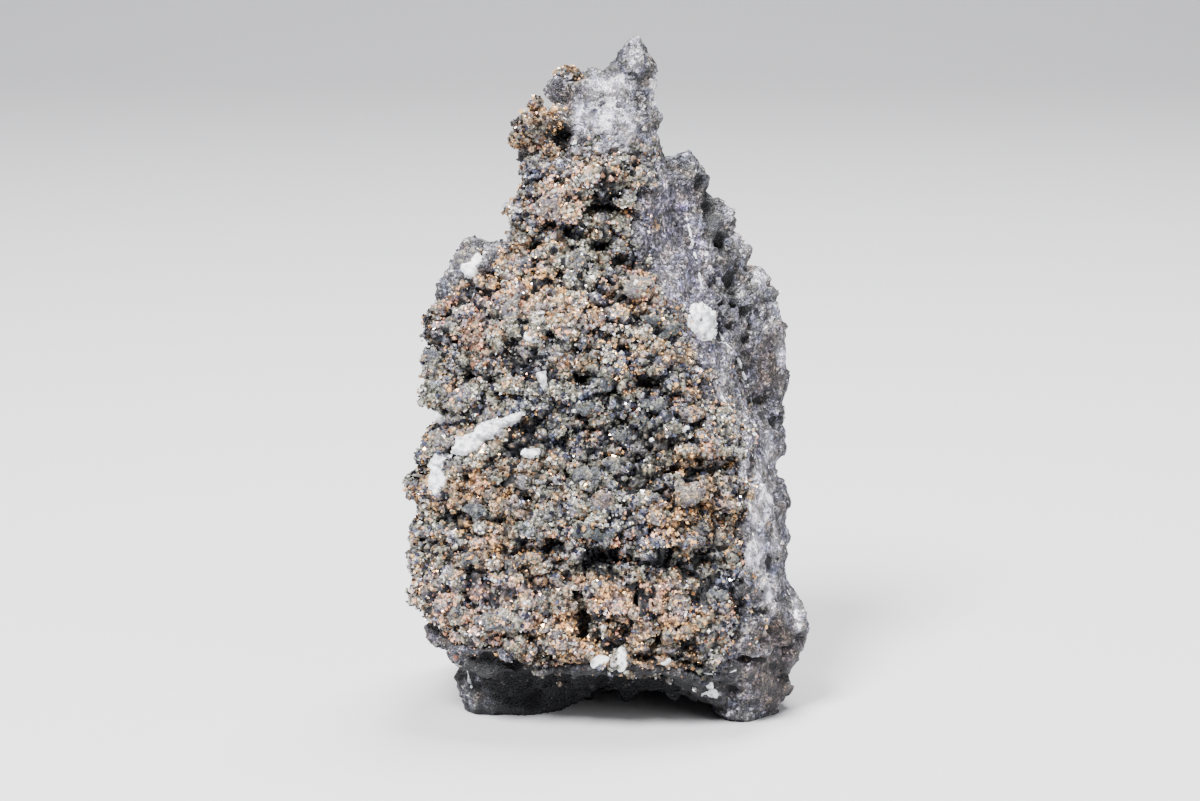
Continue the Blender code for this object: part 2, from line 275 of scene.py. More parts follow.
# Shades of the crust's bed under each tarnish, and where they stand on its noise
CRUST_STOPS = (0.36, 0.47, 0.55, 0.66)
CRUST_SHADES = {
    "ash": ("#26282C", "#64635F", "#8F8C87", "#C2BFBA"),
    "gold": ("#211C19", "#5F4E41", "#94795D", "#CFAE84"),
    "pink": ("#2B2426", "#75625C", "#A98F84", "#DEC0AE"),
    "slate": ("#12131A", "#353845", "#5B5F6C", "#8F93A0"),
}

# Core of the crust's rays: height, centre and half sizes of the section, in millimetres
CORE_ROWS = [
    (1.0, 0.0, 0.5, 8.3, 3.0), (4.0, 0.2, 0.0, 9.2, 5.0), (9.0, -0.2, 0.0, 9.6, 5.4),
    (15.0, -0.6, 0.4, 8.8, 4.6), (20.0, -0.9, 0.6, 7.8, 3.8), (25.0, -1.2, 1.0, 7.2, 3.0),
    (28.0, -1.4, 1.3, 6.0, 2.3), (31.0, -1.0, 1.6, 3.6, 1.8), (35.0, -1.6, 1.6, 1.9, 1.3),
    (38.5, -1.9, 1.8, 1.3, 0.8), (40.5, -2.2, 2.0, 0.8, 0.5),
]

# The rays' height and girth in mm, their turns about the core in degrees, the section's power
# and its half sizes where it is widest
CORE_LENGTH = 39.5
CORE_GIRTH = 33.0
CORE_TURNS = (140, 345)
CORE_POWER = 3.5
CORE_WIDEST = (9.6, 5.4)

# Passes that wear the solid's facets round
WEAR_PASSES = 5

# A face of the rock whose normal's y is above this looks away from the photograph
FACING_BACK = 0.45

# Skin below this height, in mm, is set on the ground
FOOT_HEIGHT = 0.16

# The spike on top: the height of its foot, its own height, its axis and how much it is drawn up,
# in millimetres
SPIKE_FOOT = 41.4
SPIKE_HEIGHT = 2.0
SPIKE_AXIS = (1.9, 1.7)
SPIKE_RISE = 0.35

# Seeds that the bed, its tarnish, its nodules and its grains share; the other seeds stand last in
# the calls of the random fields
CLUMP_SEED = 171
NODULE_SEED = 191
BALL_SEED = 241
GRAIN_SEED = 400

# Loose nodules on the crust's bed and on the bare rock, and the width of a nodule's dents in mm
BED_NODULES = 1100
ROCK_NODULES = 420
DENT = 0.34

# Grown knobs of silver: centre and half sizes in mm, how many nodules, and their radius in mm
KNOBS = [
    ((-5.8, -0.6, 37.5), (0.35, 0.4, 0.4), 8, 0.50),
    ((-4.7, -0.7, 38.5), (0.8, 0.5, 0.5), 11, 0.55),
    ((-4.8, -0.3, 39.6), (0.3, 0.3, 0.25), 5, 0.42),
    ((-3.5, -0.2, 38.8), (0.4, 0.4, 0.6), 7, 0.45),
    ((-4.5, -0.5, 37.3), (0.6, 0.5, 0.4), 8, 0.42),
    ((-4.4, -0.6, 36.7), (0.9, 0.6, 0.4), 10, 0.42),
    ((-4.6, 0.6, 38.0), (1.0, 0.8, 1.0), 12, 0.50),
    ((-2.7, 2.1, 41.2), (0.8, 0.8, 0.5), 12, 0.34),
    ((-4.75, -0.9, 35.4), (1.0, 0.8, 0.6), 12, 0.40),
    ((-4.9, -0.9, 33.8), (0.8, 0.7, 0.7), 9, 0.42),
    ((-5.0, -0.9, 32.4), (0.7, 0.7, 0.6), 8, 0.40),
    ((-3.2, -1.6, 33.4), (1.0, 0.6, 1.1), 12, 0.42),
    ((-0.4, -1.4, 35.0), (1.3, 0.5, 0.5), 12, 0.40),
    ((1.7, -1.2, 34.9), (1.0, 0.5, 0.5), 10, 0.38),
]


def length(name, description, default):
    """A setting that is a length, in metres."""
    return FloatProperty(
        name=name, description=description, default=default, unit="LENGTH", precision=6)


class SpecimenSizes(PropertyGroup):
    """Sizes of the rock's and the crust's meshes and of what grows on them"""
    rock_step: length("Rock Step", "Mesh step of the rock's skin", 0.218 * MM)
    crust_step: length("Crust Step", "Mesh step of the silver crust's bed", 0.112 * MM)
    crust_thickness: length("Crust Thickness", "How deep the crust lies on the rock", 1.2 * MM)
    clump: length("Clump Size", "Width of a clump of silver grains", 1.05 * MM)
    nodule: length("Nodule Size", "Width of a nodule on a clump", 0.48 * MM)
    grain: length("Grain Size", "Usual width of one silver grain", 0.20 * MM)
    grains: IntProperty(
        name="Grains", description="Silver grains on the crust in all", default=60000, min=100)


class StageSettings(PropertyGroup):
    """The camera that took the photograph"""
    elevation: FloatProperty(
        name="Elevation", description="Camera angle above the horizon",
        default=math.radians(12.0), subtype="ANGLE")
    distance: length("Distance", "Camera distance from the specimen's middle", 0.21867)
    lens: FloatProperty(
        name="Lens", description="Focal length of the macro lens, in millimetres", default=100.0)


# Colours and shader nodes

def linear(code):
    """A colour written as sRGB hex digits, in linear light with full opacity."""
    parts = [int(code[i:i + 2], 16) / 255 for i in (1, 3, 5)]
    curve = [p / 12.92 if p <= 0.04045 else ((p + 0.055) / 1.055) ** 2.4 for p in parts]
    return (*curve, 1.0)


def per_mm(size):
    """Texture scale, on coordinates in metres, of a pattern whose features are size mm wide."""
    return 1.0 / (size * MM)


def add_node(tree, kind, inputs=None, **settings):
    """Adds a node: settings are its fields, inputs what feeds its sockets or their own values."""
    node = tree.nodes.new(kind)
    for name, setting in settings.items():
        setattr(node, name, setting)
    for socket, source in (inputs or {}).items():
        if isinstance(source, bpy.types.NodeSocket):
            tree.links.new(source, node.inputs[socket])
        else:
            node.inputs[socket].default_value = source
    return node


def add_ramp(tree, factor, stops):
    """A colour ramp fed by factor; stops are (place, hex colour)."""
    ramp = add_node(tree, "ShaderNodeValToRGB", {"Fac": factor})
    elements = ramp.color_ramp.elements
    while len(elements) < len(stops):
        elements.new(0.5)
    for element, (place, code) in zip(elements, stops):
        element.position = place
        element.color = linear(code)
    return ramp.outputs["Color"]


def add_mix(tree, factor, below, above, blend="MIX"):
    """Mixes two colours: a factor of 0 shows the one below and 1 the one above."""
    inputs = {0: factor, 6: below, 7: above}
    node = add_node(tree, "ShaderNodeMix", inputs, data_type="RGBA", blend_type=blend)
    return node.outputs[2]


def add_product(tree, first, second):
    """The product of two values."""
    node = add_node(tree, "ShaderNodeMath", {0: first, 1: second}, operation="MULTIPLY")
    return node.outputs["Value"]


def object_place(tree):
    """Places in metres on the object's own axes."""
    return add_node(tree, "ShaderNodeTexCoord").outputs["Object"]


def add_noise(tree, size, detail, roughness, stretch=None):
    """Noise whose features are size mm wide; stretch scales x, y and z."""
    place = object_place(tree)
    if stretch:
        scaled = add_node(tree, "ShaderNodeMapping", {"Vector": place, "Scale": stretch})
        place = scaled.outputs["Vector"]
    inputs = {"Vector": place, "Scale": per_mm(size), "Detail": detail, "Roughness": roughness}
    return add_node(tree, "ShaderNodeTexNoise", inputs).outputs["Fac"]


def add_crystals(tree, base, size, share, channel, stops):
    """Gives each crystal, size mm wide, its own grey; also says how far its middle is."""
    cells = add_node(
        tree, "ShaderNodeTexVoronoi", {"Vector": object_place(tree), "Scale": per_mm(size)})
    drawn = add_node(tree, "ShaderNodeSeparateColor", {"Color": cells.outputs["Color"]})
    own = add_ramp(tree, drawn.outputs[channel], stops)
    return add_mix(tree, share, base, own, "OVERLAY"), cells.outputs["Distance"]


def add_range(tree, source, low, high, to_low=0.0, to_high=1.0):
    """Stretches a value from low..high to to_low..to_high, held at both ends."""
    inputs = {
        "Value": source, "From Min": low, "From Max": high, "To Min": to_low, "To Max": to_high}
    return add_node(tree, "ShaderNodeMapRange", inputs).outputs["Result"]


def add_tint(tree, base, size, share):
    """Lets a colour drift to cool, violet, olive and tan in patches size mm wide."""
    drift = add_noise(tree, size, 3.0, 0.6)
    tint = add_ramp(tree, drift, [(0.36, "#A4B6D6"), (0.43, "#C3B6CA"), (0.49, "#BCBCBC"),
                                  (0.56, "#BFC0A4"), (0.64, "#DEBC96")])
    return add_mix(tree, share, base, tint, "OVERLAY")


def attribute(tree, name):
    """A value stored on the mesh."""
    return add_node(tree, "ShaderNodeAttribute", attribute_name=name).outputs["Fac"]


def add_layer(tree, base, name, above, share=None):
    """Lays a colour over the base as far as the mesh's value says, or that times a share."""
    factor = attribute(tree, name)
    if share:
        factor = add_product(tree, factor, share)
    return add_mix(tree, factor, base, above)


def new_material(name, **values):
    """A material and its Principled shader, whose sockets get the given values."""
    material = bpy.data.materials.new(name)
    material.use_nodes = True
    shader = material.node_tree.nodes["Principled BSDF"]
    for socket, value in values.items():
        shader.inputs[socket.replace("_", " ")].default_value = value
    return material, material.node_tree, shader


def feed_shader(tree, shader, base, relief, depth):
    """Gives a shader its colour, and fine relief of the given depth in mm on its normal."""
    inputs = {"Height": relief, "Strength": 1.0, "Distance": depth * MM}
    bump = add_node(tree, "ShaderNodeBump", inputs)
    tree.links.new(base, shader.inputs["Base Color"])
    tree.links.new(bump.outputs["Normal"], shader.inputs["Normal"])


def rock_material():
    """Weathered fine-grained schist, broken by hand: matt grey, salt-and-pepper up close.

    Each crystal of it has its own grey; stretched streaks are its foliation, with a lavender
    cast on the parting face, chalky white where spar has grown over it, a painted highlight
    along the right rim, soot in the hollows and painted shade where the rock lies under
    ledges, knobs and the crust and between the feet.
    """
    material, tree, shader = new_material("weathered_schist", Roughness=0.6)
    mottle = add_noise(tree, 0.9, 4.0, 0.6)
    base = add_ramp(tree, mottle, [
        (0.34, "#505052"), (0.44, "#747375"), (0.54, "#979698"), (0.66, "#BFBEC0")])
    lavender = add_ramp(tree, mottle, [(0.34, "#68646F"), (0.50, "#96929C"), (0.66, "#C1BCC8")])
    base = add_layer(tree, base, "lavender", lavender)
    streak = add_noise(tree, 0.45, 6.0, 0.7, (1.0, 1.0, 0.34))
    streaks = add_ramp(tree, streak, [
        (0.38, "#35343A"), (0.46, "#6C6A70"), (0.53, "#99979E"), (0.64, "#DAD8DF")])
    base = add_layer(tree, base, "foliation", streaks, 0.8)
    tan = add_ramp(tree, mottle, [(0.34, "#453830"), (0.50, "#7C6A5E"), (0.66, "#AE9786")])
    base = add_layer(tree, base, "stain", tan)
    chalk_and_rim_light = add_ramp(tree, mottle, [(0.34, "#9A989E"), (0.46, "#CFCDD3"), (0.58, "#F6F5F8")])
    base = add_layer(tree, base, "chalk_and_rim_light", chalk_and_rim_light)
    greys = [
        (0.0, "#1E1E22"), (0.2, "#64646A"), (0.6, "#97979B"), (0.85, "#C6C6CA"), (1.0, "#FFFFFF")]
    for size, share, channel in (0.46, 0.45, "Blue"), (0.22, 0.95, "Red"), (0.13, 0.9, "Green"):
        base, away = add_crystals(tree, base, size, share, channel, greys)
    base = add_tint(tree, base, 0.8, 0.5)
    base = add_layer(tree, base, "chalk_and_rim_light", chalk_and_rim_light, 0.25)
    pit = add_range(tree, add_noise(tree, 0.30, 2.0, 0.6), 0.60, 0.66)
    base = add_mix(tree, add_product(tree, pit, 0.8), base, linear("#1D1D22"))
    # Soot in hollows and painted shade under ledges, the knobs and the crust: near black, flecked
    flecks = add_range(tree, add_noise(tree, 0.4, 4.0, 0.75), 0.52, 0.66, 1.0, 0.35)
    flecked_soot_and_shade = add_product(tree, attribute(tree, "soot_and_shade"), flecks)
    base = add_mix(tree, flecked_soot_and_shade, base, linear("#0B0C10"))
    feed_shader(tree, shader, base, away, -0.12)
    return material


def crust_material():
    """Tarnished silver ore between the grains: soot and painted shade in the gaps, ash and bronze
    on top.
    """
    material, tree, shader = new_material("tarnished_silver_ore", Roughness=0.55, Metallic=0.3)
    fine = add_noise(tree, 0.26, 4.0, 0.68)
    base = None
    for name, codes in CRUST_SHADES.items():
        above = add_ramp(tree, fine, list(zip(CRUST_STOPS, codes)))
        base = add_layer(tree, base, name, above) if base else above
    base = add_tint(tree, base, 1.3, 0.7)
    # Soot and painted shade: near black in the bed's gaps, hollows and low places
    base = add_layer(tree, base, "soot_and_shade", linear("#0E0F14"))
    feed_shader(tree, shader, base, fine, 0.06)
    return material


def grain_material(name, stops, roughness, metallic):
    """Silver grains under one kind of tarnish; each grain's shade, with painted light, comes from
    the ramp.
    """
    material, tree, shader = new_material(name, Roughness=roughness, Metallic=metallic)
    colour = add_ramp(tree, attribute(tree, "shade"), stops)
    tree.links.new(colour, shader.inputs["Base Color"])
    return material


def spar_material():
    """White calcite spar, cleaved: bright, faintly see-through at its edges, with a satin shine."""
    material, tree, shader = new_material(
        "white_calcite_spar", Roughness=0.38, IOR=1.55, Subsurface_Weight=0.1,
        Subsurface_Radius=(0.3 * MM,) * 3)
    cloud = add_noise(tree, 0.5, 5.0, 0.65)
    base = add_ramp(tree, cloud, [(0.36, "#96979D"), (0.46, "#D6D7DC"), (0.58, "#FAFAFC")])
    feed_shader(tree, shader, base, cloud, 0.08)
    return material


# Random fields worked out for whole arrays of points

LATTICE_TURN = np.array([[0.80, 0.60, 0.0], [-0.48, 0.64, 0.60], [0.36, -0.48, 0.80]])


def lattice_random(cells, seed):
    """One steady random number from 0 to 1 for each lattice cell: its whole numbers, mixed."""
    whole = cells.astype(np.int64).astype(np.uint64)
    mixed = (whole[..., 0] * np.uint64(73856093)) ^ (whole[..., 1] * np.uint64(19349663))
    mixed ^= whole[..., 2] * np.uint64(83492791)
    mixed ^= np.uint64(seed * 2654435761 % 2 ** 62)
    for shift in (15, 13):
        mixed ^= mixed >> np.uint64(shift)
        mixed *= np.uint64(0x9E3779B97F4A7C15)
    mixed ^= mixed >> np.uint64(31)
    return (mixed & np.uint64(0xFFFFFF)).astype(float) / 0x1000000


def soft_noise(points, size, seed):
    """Smooth waves from -1 to 1, one in about each size: lattice values with eased blending."""
    scaled = points / size
    low = np.floor(scaled)
    part = scaled - low
    ease = part * part * (3 - 2 * part)
    total = np.zeros(points.shape[:-1])
    for corner in itertools.product((0, 1), repeat=3):
        weight = np.prod(np.where(np.array(corner) == 1, ease, 1 - ease), axis=-1)
        total += weight * lattice_random(low + corner, seed)
    return total * 2 - 1


def rough_noise(points, size, octaves, seed, gain=0.55):
    """Broken surface from -1 to 1: soft noise, with each octave half as wide, turned, weaker."""
    total = np.zeros(points.shape[:-1])
    amount = 1.0
    scale = 0.0
    for octave in range(octaves):
        total += amount * soft_noise(points, size, seed + octave)
        scale += amount
        amount *= gain
        size *= 0.5
        points = points @ LATTICE_TURN
    return total / scale


def clumps(points, size, seed):
    """Nearest and second clump centre as shares of size, the nearest one's number and offset.

    One centre is set at random in each lattice cell, and the 27 cells around are compared.
    """
    scaled = points / size
    low = np.floor(scaled)
    shape = points.shape[:-1]
    nearest, second, own = np.full(shape, 9.0), np.full(shape, 9.0), np.zeros(shape)
    offset = np.zeros(points.shape)
    for corner in itertools.product((-1, 0, 1), repeat=3):
        cell = low + corner
        jitter = np.stack([lattice_random(cell, seed + axis) for axis in range(3)], -1)
        arrow = scaled - (cell + 0.1 + 0.8 * jitter)
        away = np.linalg.norm(arrow, axis=-1)
        nearer = away < nearest
        second = np.where(nearer, nearest, np.minimum(second, away))
        own = np.where(nearer, lattice_random(cell, seed + 3), own)
        offset = np.where(nearer[..., None], arrow, offset)
        nearest = np.minimum(nearest, away)
    return nearest, second, own, offset


def chips(points, size, seed):
    """A surface broken into flat chips, from about -1 to 1.

    Each random cell is a plane with its own height and its own tilt away from its centre.
    """
    _, _, own, offset = clumps(points, size, seed)
    tilt = np.stack([np.cos(own * 97.0), np.sin(own * 57.0), np.cos(own * 31.0 + 1.0)], -1)
    return (own - 0.5) * 1.1 + np.sum(tilt * offset, axis=-1) * 0.8


def stirred_cells(points, size, octaves, stir, seed, stretch=(1.0, 1.0, 1.0)):
    """Clumps around places that are stirred a little first, so that none is round."""
    drift = np.stack([rough_noise(points, stir[0] * size, octaves, seed + 20 + axis)
                      for axis in range(3)], -1)
    return clumps((points + stir[1] * size * drift) * stretch, size, seed)


def clump_cells(points):
    """The crust's clump at each place."""
    size = bpy.context.scene.specimen_sizes.clump
    return stirred_cells(points, size, 3, (0.9, 0.42), CLUMP_SEED, (0.8, 1.0, 1.12))


def nodule_cells(points):
    """The nodule at each place."""
    size = bpy.context.scene.specimen_sizes.nodule
    return stirred_cells(points, size, 2, (1.0, 0.35), NODULE_SEED)


def dome(near, width):
    """A round dome over a clump's centre: 1 in the middle and 0 at the given share of size."""
    return np.sqrt(np.clip(1 - (near / width) ** 2, 0, 1))


def eased(value, low, high):
    """0 below low, 1 above high, and an even S between them."""
    part = np.clip((value - low) / (high - low), 0.0, 1.0)
    return part * part * (3 - 2 * part)


# The photograph's view: where a place on the rock is seen, and what a pixel looks at

def view_axes():
    """The camera's place and its right, up and forward directions."""
    stage = bpy.context.scene.specimen_stage
    forward = np.array([0.0, math.cos(stage.elevation), -math.sin(stage.elevation)])
    up = np.array([0.0, math.sin(stage.elevation), math.cos(stage.elevation)])
    right = np.array([1.0, 0.0, 0.0])
    return AIM - forward * stage.distance, right, up, forward


def pixels_per_tangent():
    return bpy.context.scene.specimen_stage.lens / SENSOR_WIDTH * PHOTO_WIDTH


def seen_at(points):
    """Photo column and row where each point is seen: its offset from the aim over its depth."""
    eye, right, up, forward = view_axes()
    rays = points - eye
    depth = rays @ forward
    column = PHOTO_WIDTH / 2 + pixels_per_tangent() * (rays @ right) / depth
    row = PHOTO_HEIGHT / 2 - pixels_per_tangent() * (rays @ up) / depth
    return column, row


def on_surface(column, row, names):
    """The nearest place that a photo pixel looks at on the named objects, and its normal."""
    eye, right, up, forward = view_axes()
    across = (column - PHOTO_WIDTH / 2) / pixels_per_tangent()
    upward = (PHOTO_HEIGHT / 2 - row) / pixels_per_tangent()
    ray = Vector(forward + right * across + up * upward)
    hits = [search_tree(name).ray_cast(Vector(eye), ray) for name in names]
    hits = [hit for hit in hits if hit[0] is not None]
    if not hits:
        raise ValueError(f"the pixel {column}, {row} looks past the specimen")
    place, normal, _, _ = min(hits, key=lambda hit: hit[3])
    return np.array(place), np.array(normal)


def ellipses(column, row, table, wobble, inner, outer):
    """Each soft ellipse of a table of photo places, with its amount where the table gives one.

    Its value is 1 up to the inner share of its half sizes and eases to 0 at the outer one.
    """
    for middle_column, middle_row, half_width, half_height, *amount in table:
        away = np.hypot((column - middle_column) / half_width, (row - middle_row) / half_height)
        yield 1 - eased(away + wobble, inner, outer), *amount


def tone_and_shade(column, row, wobble):
    """Sum of the broad tones and painted light and shade at photo places."""
    return sum(amount * inside for inside, amount in ellipses(
        column, row, TONE_AND_SHADE_ZONES, 0.4 * wobble, 0.4, 1.3))


def mounds(column, row, table, wobble):
    """Height in millimetres of a set of bowls or lumps at photo places, the largest winning."""
    height = np.zeros(column.shape)
    for inside, tall in ellipses(column, row, table, 0.3 * wobble, 0.35, 1.2):
        height = np.maximum(height, tall * inside)
    return height


def zone(column, row, table, wobble):
    """How far inside a set of soft ellipses each photo place lies, from 0 to 1."""
    most = np.zeros(column.shape)
    for inside, in ellipses(column, row, table, 0.35 * wobble, 0.5, 1.25):
        most = np.maximum(most, inside)
    return most


def outline_depth(column, row, outline):
    """Signed distance in pixels from a closed outline, positive inside.

    The distance is to the nearest side; a place is inside where a level line from it crosses
    the sides an odd number of times.
    """
    nearest = np.full(column.shape, 1e9)
    crossed = np.zeros(column.shape, bool)
    for (x0, y0), (x1, y1) in zip(outline, outline[1:] + outline[:1]):
        along = ((column - x0) * (x1 - x0) + (row - y0) * (y1 - y0))
        along = np.clip(along / ((x1 - x0) ** 2 + (y1 - y0) ** 2), 0.0, 1.0)
        away = np.hypot(column - x0 - along * (x1 - x0), row - y0 - along * (y1 - y0))
        nearest = np.minimum(nearest, away)
        if y0 != y1:
            spans = (y0 > row) != (y1 > row)
            crossed ^= spans & (column < (x1 - x0) * (row - y0) / (y1 - y0) + x0)
    return np.where(crossed, nearest, -nearest)


# The rock's skin and what is laid on it

def add_object(name, mesh):
    made = bpy.data.objects.new(name, mesh)
    bpy.context.scene.collection.objects.link(made)
    return made


def finished_mesh(source):
    """The mesh of an object with its modifiers applied."""
    depsgraph = bpy.context.evaluated_depsgraph_get()
    return bpy.data.meshes.new_from_object(source.evaluated_get(depsgraph))


def rock_skin():
    """The solid's skin remade of even squares with its facets worn round, as a hidden guide."""
    if "rock_skin" in bpy.data.objects:
        return bpy.data.objects["rock_skin"]
    whole = bmesh.new()
    whole.from_mesh(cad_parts[NODE].data)
    bmesh.ops.remove_doubles(whole, verts=whole.verts, dist=0.001 * MM)
    mesh = bpy.data.meshes.new("rock_skin")
    whole.to_mesh(mesh)
    whole.free()
    guide = add_object("rock_melt", mesh)
    melt = guide.modifiers.new("melt", "REMESH")
    melt.mode = "VOXEL"
    melt.voxel_size = bpy.context.scene.specimen_sizes.rock_step
    wear = guide.modifiers.new("wear", "SMOOTH")
    wear.factor = 0.5
    wear.iterations = WEAR_PASSES
    skin = add_object("rock_skin", finished_mesh(guide))
    skin.hide_render = True
    bpy.data.objects.remove(guide, do_unlink=True)
    return skin


search_trees = {}


def search_tree(name):
    """A search tree of an object's finished mesh, made once."""
    if name not in search_trees:
        depsgraph = bpy.context.evaluated_depsgraph_get()
        search_trees[name] = BVHTree.FromObject(bpy.data.objects[name], depsgraph)
    return search_trees[name]


def mesh_points(mesh):
    """The mesh's vertices and their normals as arrays."""
    count = len(mesh.vertices)
    places, normals = np.empty(count * 3, np.float32), np.empty(count * 3, np.float32)
    mesh.vertices.foreach_get("co", places)
    mesh.vertex_normals.foreach_get("vector", normals)
    return places.reshape(-1, 3).astype(float), normals.reshape(-1, 3).astype(float)


def set_attributes(mesh, values):
    """Stores each array of values as a float attribute of the mesh's vertices."""
    for name, value in values.items():
        layer = mesh.attributes.new(name, "FLOAT", "POINT")
        layer.data.foreach_set("value", np.ravel(value).astype(np.float32))


def finish_piece(piece, material):
    """Gives a piece its material and body."""
    piece.data.materials.clear()
    piece.data.materials.append(material)
    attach(piece, BODY)


def crust_field(points):
    """How surely the silver crust covers each place, in millimetres inside its ragged edge.

    On the front it is the photographed outline; round the left it ends by its depth behind.
    """
    column, row = seen_at(points)
    ragged = rough_noise(points, 2.0 * MM, 5, 11, 0.7)
    inside = outline_depth(column, row, CRUST_OUTLINE) * PIXEL + 1.3 * ragged
    behind = 1.8 - points[..., 1] / MM - 1.6 * ragged
    above_lip = points[..., 2] / MM - 2.4 - 0.5 * ragged
    return np.minimum(np.minimum(inside, behind), above_lip)


def spar_depth(points):
    """Millimetres inside the nearest spar outline, and how proud that spar stands there."""
    column, row = seen_at(points)
    inside, proud = np.full(column.shape, -9.0), np.zeros(column.shape)
    for outline, tall, _ in SPAR_OUTLINES:
        depth = outline_depth(column, row, outline) * PIXEL
        proud = np.where(depth > inside, tall, proud)
        inside = np.maximum(inside, depth)
    return inside, proud


def hollow_depth(points):
    """How deep the hollows of the crust reach at each place, in millimetres."""
    column, row = seen_at(points)
    return mounds(column, row, HOLLOWS, 2.2 * rough_noise(points, 1.0 * MM, 4, 23))


def sharpen_spike(points):
    """Draws the pinnacle's top to a point: wider at its foot, narrow above, a little taller."""
    height = np.clip((points[..., 2] / MM - SPIKE_FOOT) / SPIKE_HEIGHT, 0, 1)
    middle = np.array(SPIKE_AXIS) * MM
    foot = (1 - height) * eased(height, 0.0, 0.3)
    wide = np.stack([1 - 0.45 * height + 0.35 * foot, 1 + 0.5 * foot], -1)
    points[..., :2] = middle + (points[..., :2] - middle) * wide
    points[..., 2] += SPIKE_RISE * MM * height ** 2


def seat_on_ground(points):
    """Sets the lowest skin flat on the ground plane."""
    low = points[..., 2] < FOOT_HEIGHT * MM
    points[..., 2] = np.where(low, 0.0, points[..., 2])


class SPECIMEN_OT_host_rock(Operator):
    """Builds the host rock: its broken skin, foliation, parting face and pits"""
    bl_idname = "specimen.host_rock"
    bl_label = "Host Rock"

    def execute(self, context):
        sizes = context.scene.specimen_sizes
        mesh = rock_skin().data.copy()
        mesh.name = "host_rock"
        points, normals = mesh_points(mesh)
        column, row = seen_at(points)
        wobble = rough_noise(points, 1.4 * MM, 4, 5)
        front = normals[:, 1] < FACING_BACK
        lavender = front * zone(column, row, LAVENDER_ZONES, wobble)
        chalk_and_rim_light = front * mounds(column, row, CHALK_AND_RIM_LIGHT_ZONES, 1.5 * wobble)
        x, y, z = points.T / MM
        right_side = eased(x + 2.0 * wobble, 6.0, 8.5) * eased(24.5 - z + 3 * wobble, -2.0, 2.0)
        right_side *= eased(z + 2 * wobble, 5.0, 8.0)
        back = eased(y + 1.5 * wobble, 3.0, 6.0)
        foliation = np.maximum(right_side, back * 0.35)
        porous = zone(column, row, POROUS_ZONES, wobble)
        crust = crust_field(points)
        covered = eased(crust, 0.0, 1.0)

        # Relief in millimetres: large chips, slabs of the foliation, small chips and fine noise
        upright = points * (1.0, 1.0, 0.45)
        relief = 0.42 * chips(points, 2.3 * MM, 31) * (1 - 0.8 * foliation)
        relief += 0.16 * chips(upright * (1.6, 1.0, 1.0), 1.6 * MM, 37) * foliation
        relief += 0.26 * chips(points @ LATTICE_TURN, 0.95 * MM, 43) * (1 - 0.6 * foliation)
        relief += 0.20 * rough_noise(points, 0.8 * MM, 3, 47)
        relief += 0.22 * rough_noise(points * (1.5, 1.5, 0.4), 0.9 * MM, 3, 49) * right_side
        # Pits, cracks, the room under the knobs and the crust, and the recess between the feet
        near, _, own, _ = clumps(points, 1.0 * MM, 61)
        pits = (own > 0.62) * (1 - eased(near, 0.12, 0.5))
        relief -= 0.32 * pits * (0.1 + porous)
        relief *= 1 - 0.7 * lavender * (1 - porous)
        cracks = front * mounds(column, row, CRACKS, 2.8 * rough_noise(points, 0.9 * MM, 4, 53))
        knob = front * zone(column, row, KNOB_ZONES, wobble)
        relief -= 0.9 * knob
        relief -= cracks * (1 - covered)
        relief *= eased(z, 0.0, 0.7)
        relief -= (sizes.crust_thickness / MM + hollow_depth(points)) * covered
        recess = eased(4.4 - z, 0.0, 1.6) * eased(-4.5 - y, -3.0, 0.5)
        recess *= eased(7.0 - np.abs(x + 1.5), 0, 2)
        relief -= 0.9 * recess * eased(z, 0.2, 1.0)
        points += normals * relief[:, None] * MM
        sharpen_spike(points)
        seat_on_ground(points)
        mesh.vertices.foreach_set("co", points.astype(np.float32).ravel())

        # Soot and painted shade in what lies deep, brown stains, chalk with a painted rim
        # highlight, and the silver specks' own places
        # Painted shade: faces that look down near the ground are darkened
        shade_underneath = eased(-normals[:, 2], 0.1, 0.7) * eased(5.0 - z, 0.0, 2.0)
        grime_and_shade = front * mounds(column, row, GRIME_AND_SHADE_ZONES, 1.5 * wobble)
        # Soot with painted shade: pits, rock under the crust, cracks, under the knobs and the feet
        # go dark
        soot_and_shade = 0.6 * pits * (0.15 + porous) + 0.7 * covered + 0.95 * shade_underneath
        soot_and_shade += grime_and_shade + eased(cracks, 0.15, 0.7) + 0.9 * knob + 0.7 * recess * front
        broad = rough_noise(points, 7.0 * MM, 4, 87)
        stain = 0.6 * eased(rough_noise(points, 3.0 * MM, 4, 83), 0.12, 0.4)
        stain = np.maximum(stain, 0.8 * back * eased(broad, 0.10, 0.35))
        stain = np.maximum(stain, 0.7 * zone(column, row, STAINED_ZONES, wobble) * front)
        chalk_and_rim_light = np.maximum(chalk_and_rim_light, 0.55 * back * eased(-broad, 0.12, 0.4))
        soot_and_shade += 0.45 * back * eased(rough_noise(points, 4.0 * MM, 4, 89), 0.10, 0.4)
        specks = eased(crust, -1.9, -0.1) * eased(wobble, -0.2, 0.3)
        grown = back * eased(rough_noise(points, 5.5 * MM, 4, 91), 0.16, 0.30)
        grown *= eased(normals[:, 1], 0.2, 0.5)
        silver = np.maximum(0.5 * specks, grown) * (1 - covered) * eased(z, 1.0, 2.5)
        set_attributes(mesh, {
            "lavender": lavender, "chalk_and_rim_light": chalk_and_rim_light, "foliation": foliation,
            "soot_and_shade": np.clip(soot_and_shade, 0, 1.4), "stain": stain * (1 - chalk_and_rim_light) * (1 - lavender),
            "bare": 1 - silver, "hollow": np.zeros(len(points))})
        mesh.shade_smooth()
        rock = add_object("host_rock", mesh)
        finish_piece(rock, rock_material())
        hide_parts(NODE)
        return {"FINISHED"}


# Grids of two parameters

